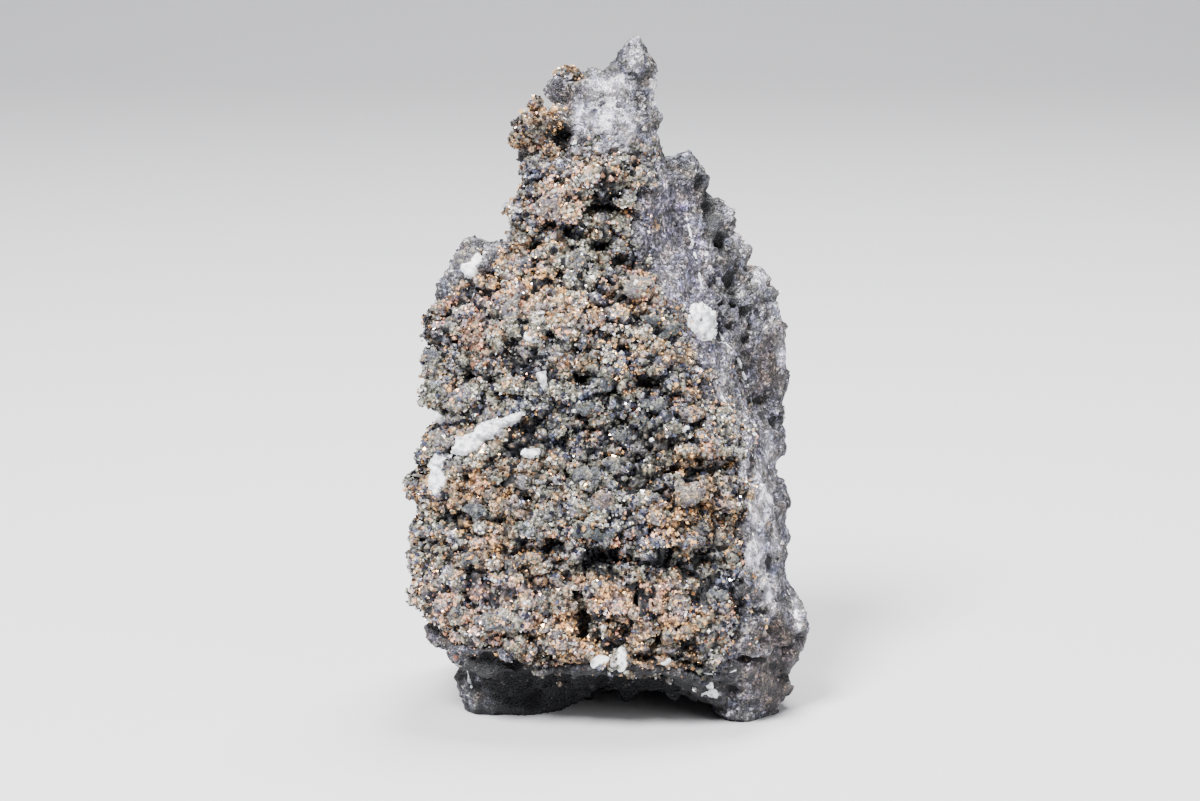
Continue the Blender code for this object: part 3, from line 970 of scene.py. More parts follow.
def grid_faces(rows, columns, closed=False):
    """Squares between neighbouring points of a grid, wound so that they face outwards."""
    index = np.arange(rows * columns).reshape(rows, columns)
    if closed:
        index = np.concatenate([index, index[:, :1]], axis=1)
    corners = (index[:-1, :-1], index[:-1, 1:], index[1:, 1:], index[1:, :-1])
    return np.stack(corners, -1).reshape(-1, 4)


def grid_normals(points):
    """Unit normals of a grid from its two tangents."""
    along_row = np.gradient(points, axis=1)
    along_column = np.gradient(points, axis=0)
    normals = np.cross(along_row, along_column)
    return normals / np.maximum(np.linalg.norm(normals, axis=-1, keepdims=True), 1e-12)


def mesh_from(name, points, faces):
    """A mesh from an array of points and an array of faces."""
    mesh = bpy.data.meshes.new(name)
    mesh.from_pydata(points.reshape(-1, 3).tolist(), [], faces.tolist())
    return mesh


def joined_mesh(name, parts):
    """One mesh from several pairs of points and faces."""
    starts = np.cumsum([0] + [len(points) for points, _ in parts])
    faces = [faces + start for (_, faces), start in zip(parts, starts)]
    return mesh_from(name, np.concatenate([points for points, _ in parts]), np.concatenate(faces))


def kept_part(points, faces, shown):
    """The faces that are shown, renumbered, and which points they use."""
    used, faces = np.unique(faces[shown], return_inverse=True)
    return points.reshape(-1, 3)[used], faces.reshape(-1, 4), used


def core_tube(rows, columns):
    """A tube inside the rock whose normals are the rays that find the crust's bed.

    Its section at each height is a squarish ellipse, |x/a|^p + |y/b|^p = 1, with centre and half
    sizes read between the core rows. Columns are evenly spaced along the outline.
    """
    table = np.array(CORE_ROWS)
    height = np.linspace(table[0, 0], table[-1, 0], rows)
    centre_x, centre_y, half_x, half_y = (
        np.interp(height, table[:, 0], table[:, i])[:, None] for i in range(1, 5))
    start, end = (math.radians(turn) for turn in CORE_TURNS)
    fine = np.linspace(start, end, 4000)

    def outline(angle, across, deep):
        cosine, sine = np.cos(angle), np.sin(angle)
        powers = np.abs(cosine) ** CORE_POWER + np.abs(sine) ** CORE_POWER
        round_off = powers ** (-1 / CORE_POWER)
        return across * cosine * round_off, deep * sine * round_off

    x, y = outline(fine, *CORE_WIDEST)
    walked = np.concatenate([[0.0], np.cumsum(np.hypot(np.diff(x), np.diff(y)))])
    angle = np.interp(np.linspace(0.0, walked[-1], columns), walked, fine)[None, :]
    x, y = outline(angle, half_x, half_y)
    points = np.stack(np.broadcast_arrays(centre_x + x, centre_y + y, height[:, None]), -1)
    return points * MM


def laid_on_skin(points, backwards=False):
    """Carries a grid along its own normals, or against them, to the rock's skin."""
    rows, columns = points.shape[:2]
    guide = add_object("rays", mesh_from("rays", points, grid_faces(rows, columns)))
    project = guide.modifiers.new("project", "SHRINKWRAP")
    project.target = rock_skin()
    project.wrap_method = "PROJECT"
    project.use_negative_direction = backwards
    project.use_positive_direction = not backwards
    mesh = finished_mesh(guide)
    laid, _ = mesh_points(mesh)
    bpy.data.objects.remove(guide, do_unlink=True)
    return laid.reshape(rows, columns, 3)


def evened(points, passes):
    """Wears a grid round: each inner point moves halfway to its four neighbours' middle."""
    points = points.copy()
    for _ in range(passes):
        middle = (points[:-2, 1:-1] + points[2:, 1:-1] + points[1:-1, :-2] + points[1:-1, 2:]) / 4
        points[1:-1, 1:-1] = (points[1:-1, 1:-1] + middle) / 2
    return points


def tarnish(points):
    """The four tarnish fields of the crust at each place, from 0 to 1.

    Each zone is broken up clump by clump, so that neighbouring clumps differ in tarnish.
    """
    column, row = seen_at(points)
    wobble = rough_noise(points, 1.6 * MM, 4, 101)
    scatter = rough_noise(points, 1.1 * MM, 4, 131)
    _, _, own, _ = clump_cells(points)
    _, _, small_own, _ = nodule_cells(points)
    gold = 0.90 * zone(column, row, GOLD_ZONES, -wobble) + 0.45 * eased(scatter, -0.05, 0.25)
    pink = 0.90 * zone(column, row, PINK_ZONES, wobble) + 0.3 * eased(-wobble, 0.1, 0.3)
    ash = zone(column, row, ASH_ZONES, scatter)
    slate = 0.7 * zone(column, row, SLATE_ZONES, -scatter) + 0.35 * eased(wobble, 0.12, 0.3)
    grey_clump = eased(own, 0.45, 0.62)
    blue_clump = eased(small_own, 0.74, 0.84)
    ash = np.clip(0.55 * ash + 0.65 * grey_clump, 0, 1)
    gold = np.clip(gold, 0, 1) * (1 - 0.85 * ash)
    pink = np.clip(pink, 0, 1) * (1 - 0.75 * ash)
    slate = np.clip(0.6 * slate + 0.6 * blue_clump, 0, 1) * (1 - 0.5 * pink)
    return pink, gold, slate, ash


class SPECIMEN_OT_crust_bed(Operator):
    """Builds the bed of the silver crust: clumps on clumps, with hollows, over the front"""
    bl_idname = "specimen.crust_bed"
    bl_label = "Crust Bed"

    def execute(self, context):
        sizes = context.scene.specimen_sizes
        rows = int(CORE_LENGTH * MM / sizes.crust_step)
        columns = int(CORE_GIRTH * MM / sizes.crust_step)
        core = core_tube(rows, columns)
        base = evened(laid_on_skin(core), 3)
        normals = grid_normals(evened(base, 6))
        inside = crust_field(base)
        column, row = seen_at(base)
        wobble = 1.5 * rough_noise(base, 0.8 * MM, 3, 29)
        hollow = hollow_depth(base)
        swell = mounds(column, row, SWELLS, wobble)
        ledges = rough_noise(base * (0.30, 0.35, 1.0), 1.5 * MM, 3, 151)
        coarse = rough_noise(base, 2.8 * MM, 3, 161)
        near, second, own, _ = clump_cells(base)
        gap = 1 - eased(second - near, 0.0, 0.22)
        small_near, _, small_own, _ = nodule_cells(base)
        clump_top, nodule_top = dome(near, 0.8), dome(small_near, 0.8)
        height = 0.52 * (clump_top - 0.62) + 0.60 * (own - 0.5) - 0.20 * gap
        height += 0.24 * (nodule_top - 0.6) + 0.24 * (small_own - 0.5)
        height += 0.60 * ledges + 0.55 * coarse
        low = 1 - eased(height, -0.50, 0.05)
        height += swell - hollow
        missing = eased(small_own, 0.90, 0.95)
        height -= 0.20 * missing
        spar, _ = spar_depth(base)
        height -= 0.7 * eased(spar, -0.15, 0.25)
        height -= 1.9 * (1 - eased(inside, -0.4, 0.7))
        points = base + normals * height[..., None] * MM
        pink, gold, slate, _ = tarnish(base)
        # Soot with painted shade: darker where the bed lies low, between clumps, in hollows and
        # gaps
        top = 0.6 * clump_top + 0.4 * nodule_top
        soot_and_shade = 0.8 * (1 - eased(top, 0.25, 0.7)) + 0.4 * gap + 0.8 * eased(hollow, 0.25, 0.9)
        soot_and_shade = np.clip(soot_and_shade + missing + 0.9 * low, 0, 1)
        bare = 1 - eased(inside - 2 * eased(spar, -0.1, 0.1), 0.0, 0.8)

        # The faces on the crust and off the spar, but not those stretched over a drop
        faces = grid_faces(rows, columns)
        shown = (inside.ravel()[faces] > -0.4).any(axis=1)
        shown &= (spar.ravel()[faces] < 0.3).any(axis=1)
        reach = points.reshape(-1, 3)[faces]
        reach = np.linalg.norm(reach[:, 0] - reach[:, 2], axis=-1)
        shown &= reach < 8 * sizes.crust_step
        places, faces, used = kept_part(points, faces, shown)
        mesh = mesh_from("crust_bed", places, faces)
        fields = {"pink": pink, "gold": gold, "slate": slate, "soot_and_shade": soot_and_shade, "bare": bare,
                  "hollow": hollow}
        set_attributes(mesh, {name: field.ravel()[used] for name, field in fields.items()})
        across, up = np.meshgrid(np.linspace(0, 1, columns), np.linspace(0, 1, rows))
        set_bake_layout(mesh, np.stack([across, up], -1).reshape(-1, 2)[used][faces])
        mesh.shade_smooth()
        bed = add_object("silver_crust_bed", mesh)
        finish_piece(bed, crust_material())
        return {"FINISHED"}


def set_bake_layout(mesh, corners):
    """Stores the bake layout: one place in the unit square for each corner of each face."""
    layer = mesh.uv_layers.new(name="OFBake")
    layer.data.foreach_set("uv", np.ravel(corners).astype(np.float32))


def ball_grid(rows, columns):
    """Unit directions over a ball on a grid of latitude and longitude, poles included."""
    latitude = np.linspace(-math.pi / 2, math.pi / 2, rows)[:, None]
    longitude = np.linspace(0, 2 * math.pi, columns, endpoint=False)[None, :]
    return np.stack([
        np.cos(latitude) * np.cos(longitude), np.cos(latitude) * np.sin(longitude),
        np.sin(latitude) + 0 * longitude], -1)


def even_directions(count):
    """Directions spread evenly over a ball: equal steps in height, golden-angle turns."""
    step = np.arange(count) + 0.5
    height = 1 - 2 * step / count
    angle = step * math.pi * (3 - math.sqrt(5))
    level = np.sqrt(1 - height * height)
    return np.stack([level * np.cos(angle), level * np.sin(angle), height], -1)


def small_ball():
    """Directions and triangles of a coarse ball; the triangles are sorted, so never shuffled."""
    ball = bmesh.new()
    bmesh.ops.create_uvsphere(ball, u_segments=6, v_segments=5, radius=1.0)
    bmesh.ops.triangulate(ball, faces=ball.faces[:])
    directions = np.array([vert.co[:] for vert in ball.verts])
    faces = np.array(sorted([vert.index for vert in face.verts] for face in ball.faces))
    ball.free()
    return directions, faces


def repeated(shape, centres, axes, rng):
    """Points of one shape at many places, scaled along its axes and turned at random."""
    turned = random_turns(rng, len(centres))
    return np.einsum("nij,nkj->nki", turned, shape[None] * axes)


def copies(faces, points_each, count):
    """The faces of many copies of one shape, in one mesh."""
    every = faces[None] + np.arange(count)[:, None, None] * points_each
    return every.reshape(-1, 3)


def ball_pieces(centres, radii, directions, seed):
    """Points of many small lumps: balls squashed, turned and dented at random."""
    rng = np.random.default_rng(seed)
    squash = rng.uniform(0.75, 1.2, (len(centres), 1, 3)) * radii[:, None, None]
    shaped = repeated(directions, centres, squash, rng)
    points = centres[:, None, :] + shaped
    near, _, own, _ = clumps(points, DENT * MM, seed + 1)
    dents = 0.30 * (dome(near, 0.8) - 0.6) + 0.25 * (own - 0.5)
    return (points + shaped * dents[..., None]).reshape(-1, 3)


class SPECIMEN_OT_nodules(Operator):
    """Builds the nodules of silver: the grown knobs at the upper left and loose ones all over"""
    bl_idname = "specimen.nodules"
    bl_label = "Silver Nodules"

    def execute(self, context):
        rng = np.random.default_rng(17)
        centres, radii = [], []
        for middle, half_sizes, count, radius in KNOBS:
            spots = even_directions(count) @ random_turns(rng, 1)[0]
            spots = spots * np.array(half_sizes) * rng.uniform(0.75, 1.0, (count, 1))
            centres.append((spots + middle) * MM)
            radii.append(radius * rng.uniform(0.7, 1.25, count) * MM)

        def covered(mesh):
            return 1 - face_values(mesh, "bare")

        def on_tops(mesh):
            return covered(mesh) * (1.02 - face_values(mesh, "soot_and_shade"))

        tops, up, _ = surface_samples("silver_crust_bed", BED_NODULES, rng, on_tops)
        spots, out, _ = surface_samples("host_rock", ROCK_NODULES, rng, covered)
        loose, normals = np.concatenate([tops, spots]), np.concatenate([up, out])
        sizes = 0.21 * np.clip(rng.lognormal(0.0, 0.35, len(loose)), 0.5, 2.2) * MM
        centres.append(loose - normals * (0.35 * sizes)[:, None])
        radii.append(sizes)
        directions, faces = small_ball()
        loosely = np.repeat((0.0, 0.6), (sum(map(len, centres[:-1])), len(loose)))
        centres = np.concatenate(centres)
        points = ball_pieces(centres, np.concatenate(radii), directions, BALL_SEED)
        every = copies(faces, len(directions), len(centres))
        mesh = mesh_from("silver_nodules", points, every)
        pink, gold, slate, _ = tarnish(points)
        near, _, _, _ = clumps(points, DENT * MM, BALL_SEED + 1)
        # The nodules darken between their dents: tarnish with painted shade in the creases
        set_attributes(mesh, {"pink": pink, "gold": gold, "slate": slate,
                              "soot_and_shade": 0.8 * eased(near, 0.4, 0.8),
                              "bare": np.repeat(loosely, len(directions)),
                              "hollow": np.zeros(len(points))})
        set_bake_layout(mesh, cell_uv(len(centres), len(faces)))
        mesh.shade_smooth()
        finish_piece(add_object("silver_nodules", mesh),
                     bpy.data.materials["tarnished_silver_ore"])
        return {"FINISHED"}


def close_poles(mesh):
    """Merges the stacked points of each pole into one."""
    whole = bmesh.new()
    whole.from_mesh(mesh)
    bmesh.ops.remove_doubles(whole, verts=whole.verts, dist=0.0005 * MM)
    bmesh.ops.recalc_face_normals(whole, faces=whole.faces[:])
    whole.to_mesh(mesh)
    whole.free()


# Silver grains, as small crystals in joined meshes

OCTAHEDRON = (
    np.array([(1, 0, 0), (-1, 0, 0), (0, 1, 0), (0, -1, 0), (0, 0, 1), (0, 0, -1)], float),
    np.array([(0, 2, 4), (2, 1, 4), (1, 3, 4), (3, 0, 4), (2, 0, 5), (1, 2, 5), (3, 1, 5),
              (0, 3, 5)]))


def random_turns(rng, count):
    """Evenly spread random rotations, as matrices from unit quaternions."""
    q = rng.normal(size=(count, 4))
    w, x, y, z = (q / np.linalg.norm(q, axis=1, keepdims=True)).T
    return np.stack([
        1 - 2 * (y * y + z * z), 2 * (x * y - z * w), 2 * (x * z + y * w),
        2 * (x * y + z * w), 1 - 2 * (x * x + z * z), 2 * (y * z - x * w),
        2 * (x * z - y * w), 2 * (y * z + x * w), 1 - 2 * (x * x + y * y)], -1).reshape(-1, 3, 3)


def cell_uv(count, faces_each):
    """A bake layout: each grain has a square cell, and each of its faces a triangle in it."""
    side = math.ceil(math.sqrt(count))
    inner = math.ceil(math.sqrt(faces_each))
    grain = np.arange(count)
    low = np.stack([grain % side, grain // side], -1)[:, None, None, :] / side
    face = np.arange(faces_each)
    spot = np.stack([face % inner, face // inner], -1)[None, :, None, :]
    corner = np.array([(0.08, 0.08), (0.92, 0.08), (0.08, 0.92)])[None, None]
    return (low + (spot + corner) / (inner * side)).reshape(-1, 2)


def grain_piece(name, places, widths, shades, seed):
    """One joined mesh of grains: an octahedron, turned and squashed at random, at each place."""
    rng = np.random.default_rng(seed)
    corners, faces = OCTAHEDRON
    count = len(places)
    squash = rng.uniform(0.7, 1.25, (count, 1, 3)) * (widths / 2)[:, None, None]
    points = places[:, None, :] + repeated(corners, places, squash, rng)
    mesh = mesh_from(name, points, copies(faces, len(corners), count))
    set_attributes(mesh, {"shade": np.repeat(shades, len(corners))})
    set_bake_layout(mesh, cell_uv(count, len(faces)))
    return add_object(name, mesh)


def face_numbers(mesh, name, width=1):
    """One of the numbers that a mesh keeps for each face."""
    numbers = np.empty(len(mesh.polygons) * width, np.float32)
    mesh.polygons.foreach_get(name, numbers)
    return numbers.reshape(-1, width).astype(float) if width > 1 else numbers


def surface_samples(name, count, rng, weight_of):
    """Random places on an object: face centres drawn by area and weight, then jittered."""
    mesh = bpy.data.objects[name].data
    areas = face_numbers(mesh, "area")
    chance = areas * weight_of(mesh)
    picked = rng.choice(len(areas), count, p=chance / chance.sum())
    jitter = rng.normal(scale=0.3, size=(count, 3)) * np.sqrt(areas[picked])[:, None]
    centres, normals = face_numbers(mesh, "center", 3), face_numbers(mesh, "normal", 3)
    return centres[picked] + jitter, normals[picked], picked


def face_values(mesh, name):
    """An attribute read at each face's first corner."""
    values = np.empty(len(mesh.vertices), np.float32)
    mesh.attributes[name].data.foreach_get("value", values)
    starts = np.empty(len(mesh.polygons), np.int32)
    mesh.polygons.foreach_get("loop_start", starts)
    corners = np.empty(len(mesh.loops), np.int32)
    mesh.loops.foreach_get("vertex_index", corners)
    return values[corners[starts]]


# Share of the grains on each piece
GRAIN_SHARES = {
    "silver_crust_bed": 0.61, "silver_nodules": 0.305, "host_rock": 0.07, "gangue_lumps": 0.015,
}

# Shades from dark to bright of each kind of grain, and its shine
GRAIN_KINDS = {
    "slate_grains": dict(
        stops=[(0.0, "#06070D"), (0.5, "#2A2C3E"), (1.0, "#666B84")],
        roughness=0.38, metallic=0.5),
    "ash_grains": dict(
        stops=[(0.0, "#292925"), (0.45, "#67675C"), (0.8, "#9F9E92"), (1.0, "#F8F6EE")],
        roughness=0.42, metallic=0.35),
    "bronze_grains": dict(
        stops=[(0.0, "#211711"), (0.5, "#6F5947"), (0.85, "#BF9A78"), (1.0, "#FFDCAC")],
        roughness=0.32, metallic=0.5),
    "gold_grains": dict(
        stops=[(0.0, "#7A5C42"), (0.3, "#F0B87A"), (1.0, "#FFD090")],
        roughness=0.26, metallic=0.5),
    "copper_grains": dict(
        stops=[(0.0, "#744E40"), (0.3, "#EEAE8E"), (1.0, "#FFC8A8")],
        roughness=0.28, metallic=0.45),
    "bright_grains": dict(
        stops=[(0.0, "#C9C7C8"), (0.5, "#F2EFF2"), (1.0, "#FFFFFF")],
        roughness=0.2, metallic=0.7),
}


class SPECIMEN_OT_grains(Operator):
    """Scatters the silver grains over the crust and the knobs, one piece for each tarnish"""
    bl_idname = "specimen.grains"
    bl_label = "Silver Grains"

    def execute(self, context):
        sizes = context.scene.specimen_sizes
        rng = np.random.default_rng(7)

        def on_tops(mesh):
            bare, soot_and_shade = face_values(mesh, "bare"), face_values(mesh, "soot_and_shade")
            return (1 - bare) * (1.15 - 0.75 * np.minimum(soot_and_shade, 1)) + 1e-9

        samples = []
        for name, part in GRAIN_SHARES.items():
            count = int(sizes.grains * part)
            spots, out, picked = surface_samples(name, count, rng, on_tops)
            fields = [face_values(bpy.data.objects[name].data, field)[picked]
                      for field in ("soot_and_shade", "hollow")]
            samples.append((spots, out, *fields))
        places, normals, soot_and_shade, hollow = map(np.concatenate, zip(*samples))
        widths = sizes.grain * np.clip(rng.lognormal(-0.05, 0.38, len(places)), 0.4, 2.1)
        places += normals * (widths * rng.uniform(-0.15, 0.25, len(places)))[:, None]
        pink, gold, slate, ash = tarnish(places)
        # Painted shade: grains in hollows and sooty places are drawn darker and more often slate
        dark = np.clip(eased(hollow, 0.3, 0.9) + 0.8 * eased(soot_and_shade, 0.3, 0.9), 0, 1)
        chances = {
            "slate_grains": 0.10 + 0.60 * slate + 0.9 * dark,
            "ash_grains": 0.12 + 0.90 * ash,
            "bronze_grains": 0.30 + 0.55 * gold,
            "gold_grains": 0.02 + 0.75 * gold * (1 - 0.6 * dark),
            "copper_grains": 0.03 + 0.80 * pink * (1 - 0.6 * dark),
            "bright_grains": (0.08 + 0.05 * ash + 0.06 * pink) * (1 - dark),
        }
        share = np.stack([np.clip(chance, 0.002, None) for chance in chances.values()], -1)
        share = np.cumsum(share / share.sum(axis=1, keepdims=True), axis=1)
        _, _, patch, _ = clumps(places, 0.7 * MM, 351)
        # One kind of tarnish for most grains of a patch, by the chances of its place
        drawn = (patch * 7.13 + 0.14 * rng.normal(size=len(places))) % 1
        kind = (drawn[:, None] > share).sum(axis=1)
        near, _, own, _ = clump_cells(places)
        broad = rough_noise(places, 3.0 * MM, 3, 331)
        # Painted light and shade: grains on clump tops are lighter, those in hollows and gaps
        # darker
        lit = 0.52 + 0.30 * (own - 0.5) + 0.36 * (dome(near, 0.8) - 0.6) - 0.46 * dark
        lit += 0.3 * broad + tone_and_shade(*seen_at(places), 2 * broad)
        for index, (name, looks) in enumerate(GRAIN_KINDS.items()):
            mine = kind == index
            shades = np.clip(lit[mine] + rng.normal(0.0, 0.27, mine.sum()), 0, 1)
            piece = grain_piece(name, places[mine], widths[mine], shades, GRAIN_SEED + index)
            finish_piece(piece, grain_material("tarnished_" + name, **looks))
        return {"FINISHED"}


def gangue_material():
    """Barren grey gangue: matt lumps from slate blue over grey to tan, speckled like the rock."""
    material, tree, shader = new_material("grey_gangue", Roughness=0.6)
    mottle = add_noise(tree, 0.5, 5.0, 0.7)
    base = add_ramp(tree, attribute(tree, "tone"), [
        (0.0, "#4A555C"), (0.3, "#73787A"), (0.5, "#87888A"), (0.75, "#A09A98"), (1.0, "#B08D78")])
    shade = add_ramp(tree, mottle, [(0.36, "#3A3A3C"), (0.5, "#808082"), (0.64, "#D6D6D6")])
    base = add_mix(tree, 0.8, base, shade, "OVERLAY")
    base, away = add_crystals(
        tree, base, 0.17, 0.6, "Green", [(0.0, "#3A3A3C"), (0.5, "#868688"), (1.0, "#E6E6E6")])
    base = add_tint(tree, base, 0.5, 0.6)
    feed_shader(tree, shader, base, away, -0.16)
    return material


def stones(name, table, dent):
    """Rough stones half sunk in the surface, as one mesh: each a ball squashed to its place.

    The ball's points are pushed out and in by flat chips, and by finer noise. A tone that the
    table gives is kept on the stone's points.
    """
    _, right, up, forward = view_axes()
    ball = ball_grid(STONE_ROWS, STONE_COLUMNS)
    faces = grid_faces(STONE_ROWS, STONE_COLUMNS, closed=True)
    parts, tone_values = [], []
    for column, row, half_width, half_height, turn, *tone in table:
        place, _ = on_surface(column, row, ["silver_crust_bed", "host_rock"])
        half_depth = 0.8 * min(half_width, half_height) * PIXEL * MM
        angle = math.radians(turn)
        along = right * math.cos(angle) + up * math.sin(angle)
        across = -right * math.sin(angle) + up * math.cos(angle)
        axes = np.stack([along * half_width * PIXEL * MM, across * half_height * PIXEL * MM,
                         -forward * half_depth])
        outward = ball @ np.stack([along, across, -forward])
        points = place + forward * 0.5 * half_depth + ball @ axes
        dents = chips(points, 0.6 * MM, 601) + 0.9 * rough_noise(points, 0.45 * MM, 3, 611)
        points = points + outward * dents[..., None] * dent
        points[0] = points[0].mean(axis=0)
        points[-1] = points[-1].mean(axis=0)
        parts.append((points.reshape(-1, 3), faces))
        tone_values += tone * (STONE_ROWS * STONE_COLUMNS)
    mesh = joined_mesh(name, parts)
    none = np.zeros(len(mesh.vertices))
    set_attributes(mesh, {"bare": none, "soot_and_shade": none, "hollow": none})
    if tone_values:
        set_attributes(mesh, {"tone": tone_values})
    close_poles(mesh)
    mesh.shade_smooth()
    return add_object(name, mesh)


class SPECIMEN_OT_lumps(Operator):
    """Builds the lumps of barren grey gangue that show between the silver grains"""
    bl_idname = "specimen.lumps"
    bl_label = "Gangue Lumps"

    def execute(self, context):
        finish_piece(stones("gangue_lumps", LUMPS, 0.27 * MM), gangue_material())
        return {"FINISHED"}


class SPECIMEN_OT_veins(Operator):
    """Builds the pale veins: thin broken ribs along their paths on the rock"""
    bl_idname = "specimen.veins"
    bl_label = "Pale Veins"

    def execute(self, context):
        parts = []
        for half_width, path in VEINS:
            places = np.array([on_surface(column, row, ["host_rock", "silver_crust_bed"])
                               for column, row in dense_path(path, 4.0)])
            middle, outward = places[:, 0], places[:, 1]
            middle[1:-1] = (middle[:-2] + 2 * middle[1:-1] + middle[2:]) / 4
            tube = rib(middle, outward, half_width * MM)
            parts.append((tube.reshape(-1, 3), grid_faces(*tube.shape[:2], closed=True)))
        mesh = joined_mesh("pale_veins", parts)
        close_poles(mesh)
        mesh.shade_smooth()
        finish_piece(add_object("pale_veins", mesh), bpy.data.materials["white_calcite_spar"])
        return {"FINISHED"}


def dense_path(path, spacing):
    """Points along a path of pixels, evenly spaced by about the given number of pixels."""
    path = np.array(path, float)
    walked = np.concatenate([[0], np.cumsum(np.linalg.norm(np.diff(path, axis=0), axis=1))])
    steps = np.linspace(0, walked[-1], max(3, int(walked[-1] / spacing)))
    return np.stack([np.interp(steps, walked, path[:, axis]) for axis in (0, 1)], -1)


def rib(middle, outward, half_width):
    """A rib along a path: a flattened ring carried along it, swelling and fading at random."""
    steps = len(middle)
    fine = np.linspace(0, steps - 1, steps * 4)
    middle = np.stack([np.interp(fine, range(steps), middle[:, a]) for a in range(3)], -1)
    outward = np.stack([np.interp(fine, range(steps), outward[:, a]) for a in range(3)], -1)
    along = np.gradient(middle, axis=0)
    side = np.cross(outward, along)
    side /= np.linalg.norm(side, axis=1, keepdims=True)
    outward = np.cross(along, side)
    outward /= np.linalg.norm(outward, axis=1, keepdims=True)
    ends = np.sin(np.linspace(0, math.pi, len(fine))) ** 0.4
    swell = half_width * ends * np.clip(0.6 + 1.1 * soft_noise(middle, 0.6 * MM, 701), 0.1, 2)
    middle = middle - outward * 0.35 * half_width
    turn = np.linspace(0, 2 * math.pi, 10, endpoint=False)[None, :, None]
    ring = side[:, None] * np.cos(turn) + outward[:, None] * np.sin(turn) * 0.7
    points = middle[:, None] + ring * swell[:, None, None]
    return points + ring * 0.05 * MM * rough_noise(points, 0.25 * MM, 2, 711)[..., None]


class SPECIMEN_OT_spar(Operator):
    """Builds the white spar: the slanted blade, the patch below it, the rods and flakes"""
    bl_idname = "specimen.spar"
    bl_label = "White Spar"

    def execute(self, context):
        parts = []
        for outline, _, ragged in SPAR_OUTLINES:
            column, row = np.array(outline, float).T
            columns = np.arange(column.min() - SPAR_MARGIN, column.max() + SPAR_MARGIN, SPAR_STEP)
            rows = np.arange(row.max() + SPAR_MARGIN, row.min() - SPAR_MARGIN, -SPAR_STEP)
            plane = photo_sheet(columns, rows)
            base = laid_on_skin(plane, backwards=True)
            missed = np.linalg.norm(base - plane, axis=-1) < 0.01 * MM
            base = evened(base, 4)
            normals = grid_normals(evened(base, 4))
            seen_column, seen_row = seen_at(base)
            inside = outline_depth(seen_column, seen_row, outline) * PIXEL
            inside += ragged * rough_noise(base, 0.6 * MM, 4, 521)
            proud = spar_depth(base)[1]
            cleaved = 0.22 * chips(base, 0.5 * MM, 531) + 0.14 * rough_noise(base, 0.3 * MM, 2, 541)
            height = -1.0 + (1.0 + proud) * eased(inside, -0.35, 0.12) + cleaved
            points = base + normals * height[..., None] * MM
            faces = grid_faces(len(rows), len(columns))
            shown = (inside.ravel()[faces] > -0.4).any(axis=1)
            shown &= ~widened(missed, 5).ravel()[faces].any(axis=1)
            parts.append(kept_part(points, faces, shown)[:2])
        mesh = joined_mesh("white_spar", parts)
        mesh.shade_smooth()
        spar = spar_material()
        finish_piece(add_object("white_spar", mesh), spar)
        crystals = stones("spar_crystals", SPAR_CRYSTALS, 0.10 * MM)
        crystals.data.shade_flat()
        finish_piece(crystals, spar)
        return {"FINISHED"}


def widened(mask, steps):
    """A grid's mask grown by some steps in all four directions."""
    mask = mask.copy()
    for _ in range(steps):
        mask[1:] |= mask[:-1]
        mask[:-1] |= mask[1:]
        mask[:, 1:] |= mask[:, :-1]
        mask[:, :-1] |= mask[:, 1:]
    return mask


def photo_sheet(columns, rows):
    """A flat sheet in front of the specimen, square to the camera, over a block of the photo."""
    eye, right, up, forward = view_axes()
    depth = bpy.context.scene.specimen_stage.distance - 15 * MM
    across = (columns - PHOTO_WIDTH / 2) / pixels_per_tangent() * depth
    upward = (PHOTO_HEIGHT / 2 - rows) / pixels_per_tangent() * depth
    return (eye + forward * depth + right * across[None, :, None]
            + up * upward[:, None, None])


class SPECIMEN_OT_stage(Operator):
    """Sets the pale floor, the soft lights and the photograph's camera"""
    bl_idname = "specimen.stage"
    bl_label = "Stage"

    def execute(self, context):
        scene = context.scene
        stage = scene.specimen_stage
        eye, _, _, _ = view_axes()
        camera = bpy.data.objects.new("camera", bpy.data.cameras.new("camera"))
        camera.data.lens = stage.lens
        camera.data.sensor_width = SENSOR_WIDTH
        camera.data.clip_start = 0.005
        camera.location = eye
        camera.rotation_euler = (math.pi / 2 - stage.elevation, 0.0, 0.0)
        scene.collection.objects.link(camera)
        scene.camera = camera

        floor_mesh = mesh_from("floor", *floor_sheet())
        floor = add_object("floor", floor_mesh)
        paper = new_material("pale_paper", Base_Color=linear("#C9C9CC"), Roughness=0.9)[0]
        floor_mesh.materials.append(paper)
        floor_mesh.shade_smooth()

        world = bpy.data.worlds.new("studio")
        world.use_nodes = True
        background = world.node_tree.nodes["Background"]
        background.inputs["Color"].default_value = linear("#D7D8DB")
        background.inputs["Strength"].default_value = 0.21
        scene.world = world
        for name, light in LIGHTS.items():
            add_light(name, *light)
        return {"FINISHED"}


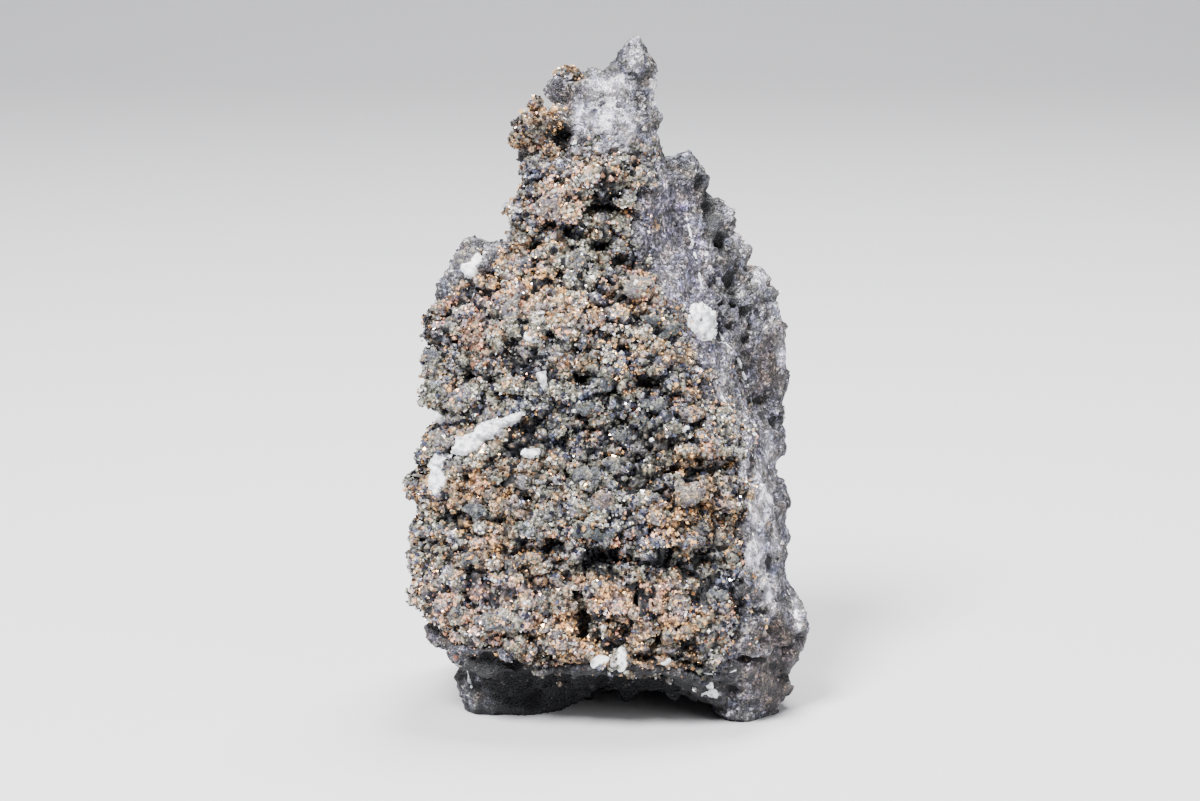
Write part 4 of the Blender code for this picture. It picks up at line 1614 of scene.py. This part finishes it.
def floor_sheet():
    """A floor that sweeps up behind: level to the bend, then a quarter circle, then upright."""
    flat = np.linspace(-0.6, FLOOR_BEND, 20)
    bend = np.linspace(0, math.pi / 2, 24)[1:]
    depth = np.concatenate([
        flat, FLOOR_BEND + FLOOR_ROUND * np.sin(bend), [FLOOR_BEND + FLOOR_ROUND]])
    height = np.concatenate([0 * flat, FLOOR_ROUND * (1 - np.cos(bend)), [FLOOR_HEIGHT]])
    across = np.linspace(-FLOOR_HALF_WIDTH, FLOOR_HALF_WIDTH, 9)[:, None]
    points = np.stack(np.broadcast_arrays(across, depth[None], height[None]), -1)
    return points, grid_faces(len(across), len(depth))[:, ::-1]


def add_light(name, place, width, power):
    """A square soft light that looks at the specimen's middle."""
    light = bpy.data.lights.new(name, "AREA")
    light.size = width
    light.energy = power
    made = bpy.data.objects.new(name, light)
    made.location = place
    made.rotation_euler = (Vector(AIM) - Vector(place)).to_track_quat("-Z", "Y").to_euler()
    bpy.context.scene.collection.objects.link(made)


class SPECIMEN_PT_panel(Panel):
    bl_label = "Specimen"
    bl_idname = "SPECIMEN_PT_panel"
    bl_space_type = "VIEW_3D"
    bl_region_type = "UI"
    bl_category = "Specimen"

    def draw(self, context):
        for group in GROUPS:
            settings = getattr(context.scene, group)
            for name in settings.__annotations__:
                self.layout.prop(settings, name)
        for step in STEPS:
            self.layout.operator(step.bl_idname)


GROUPS = {"specimen_sizes": SpecimenSizes, "specimen_stage": StageSettings}

# The operators, in the order in which they run
STEPS = [
    SPECIMEN_OT_stage, SPECIMEN_OT_host_rock, SPECIMEN_OT_crust_bed, SPECIMEN_OT_nodules,
    SPECIMEN_OT_lumps, SPECIMEN_OT_grains, SPECIMEN_OT_spar, SPECIMEN_OT_veins,
]


def register():
    for kind in [*GROUPS.values(), *STEPS, SPECIMEN_PT_panel]:
        bpy.utils.register_class(kind)
    for name, kind in GROUPS.items():
        setattr(bpy.types.Scene, name, PointerProperty(type=kind))


def unregister():
    for name in GROUPS:
        delattr(bpy.types.Scene, name)
    for kind in [SPECIMEN_PT_panel, *STEPS, *GROUPS.values()]:
        bpy.utils.unregister_class(kind)


def main():
    register()
    for step in STEPS:
        getattr(bpy.ops.specimen, step.bl_idname.split(".")[1])()
    bpy.data.objects.remove(rock_skin(), do_unlink=True)


if __name__ == "__main__":
    main()
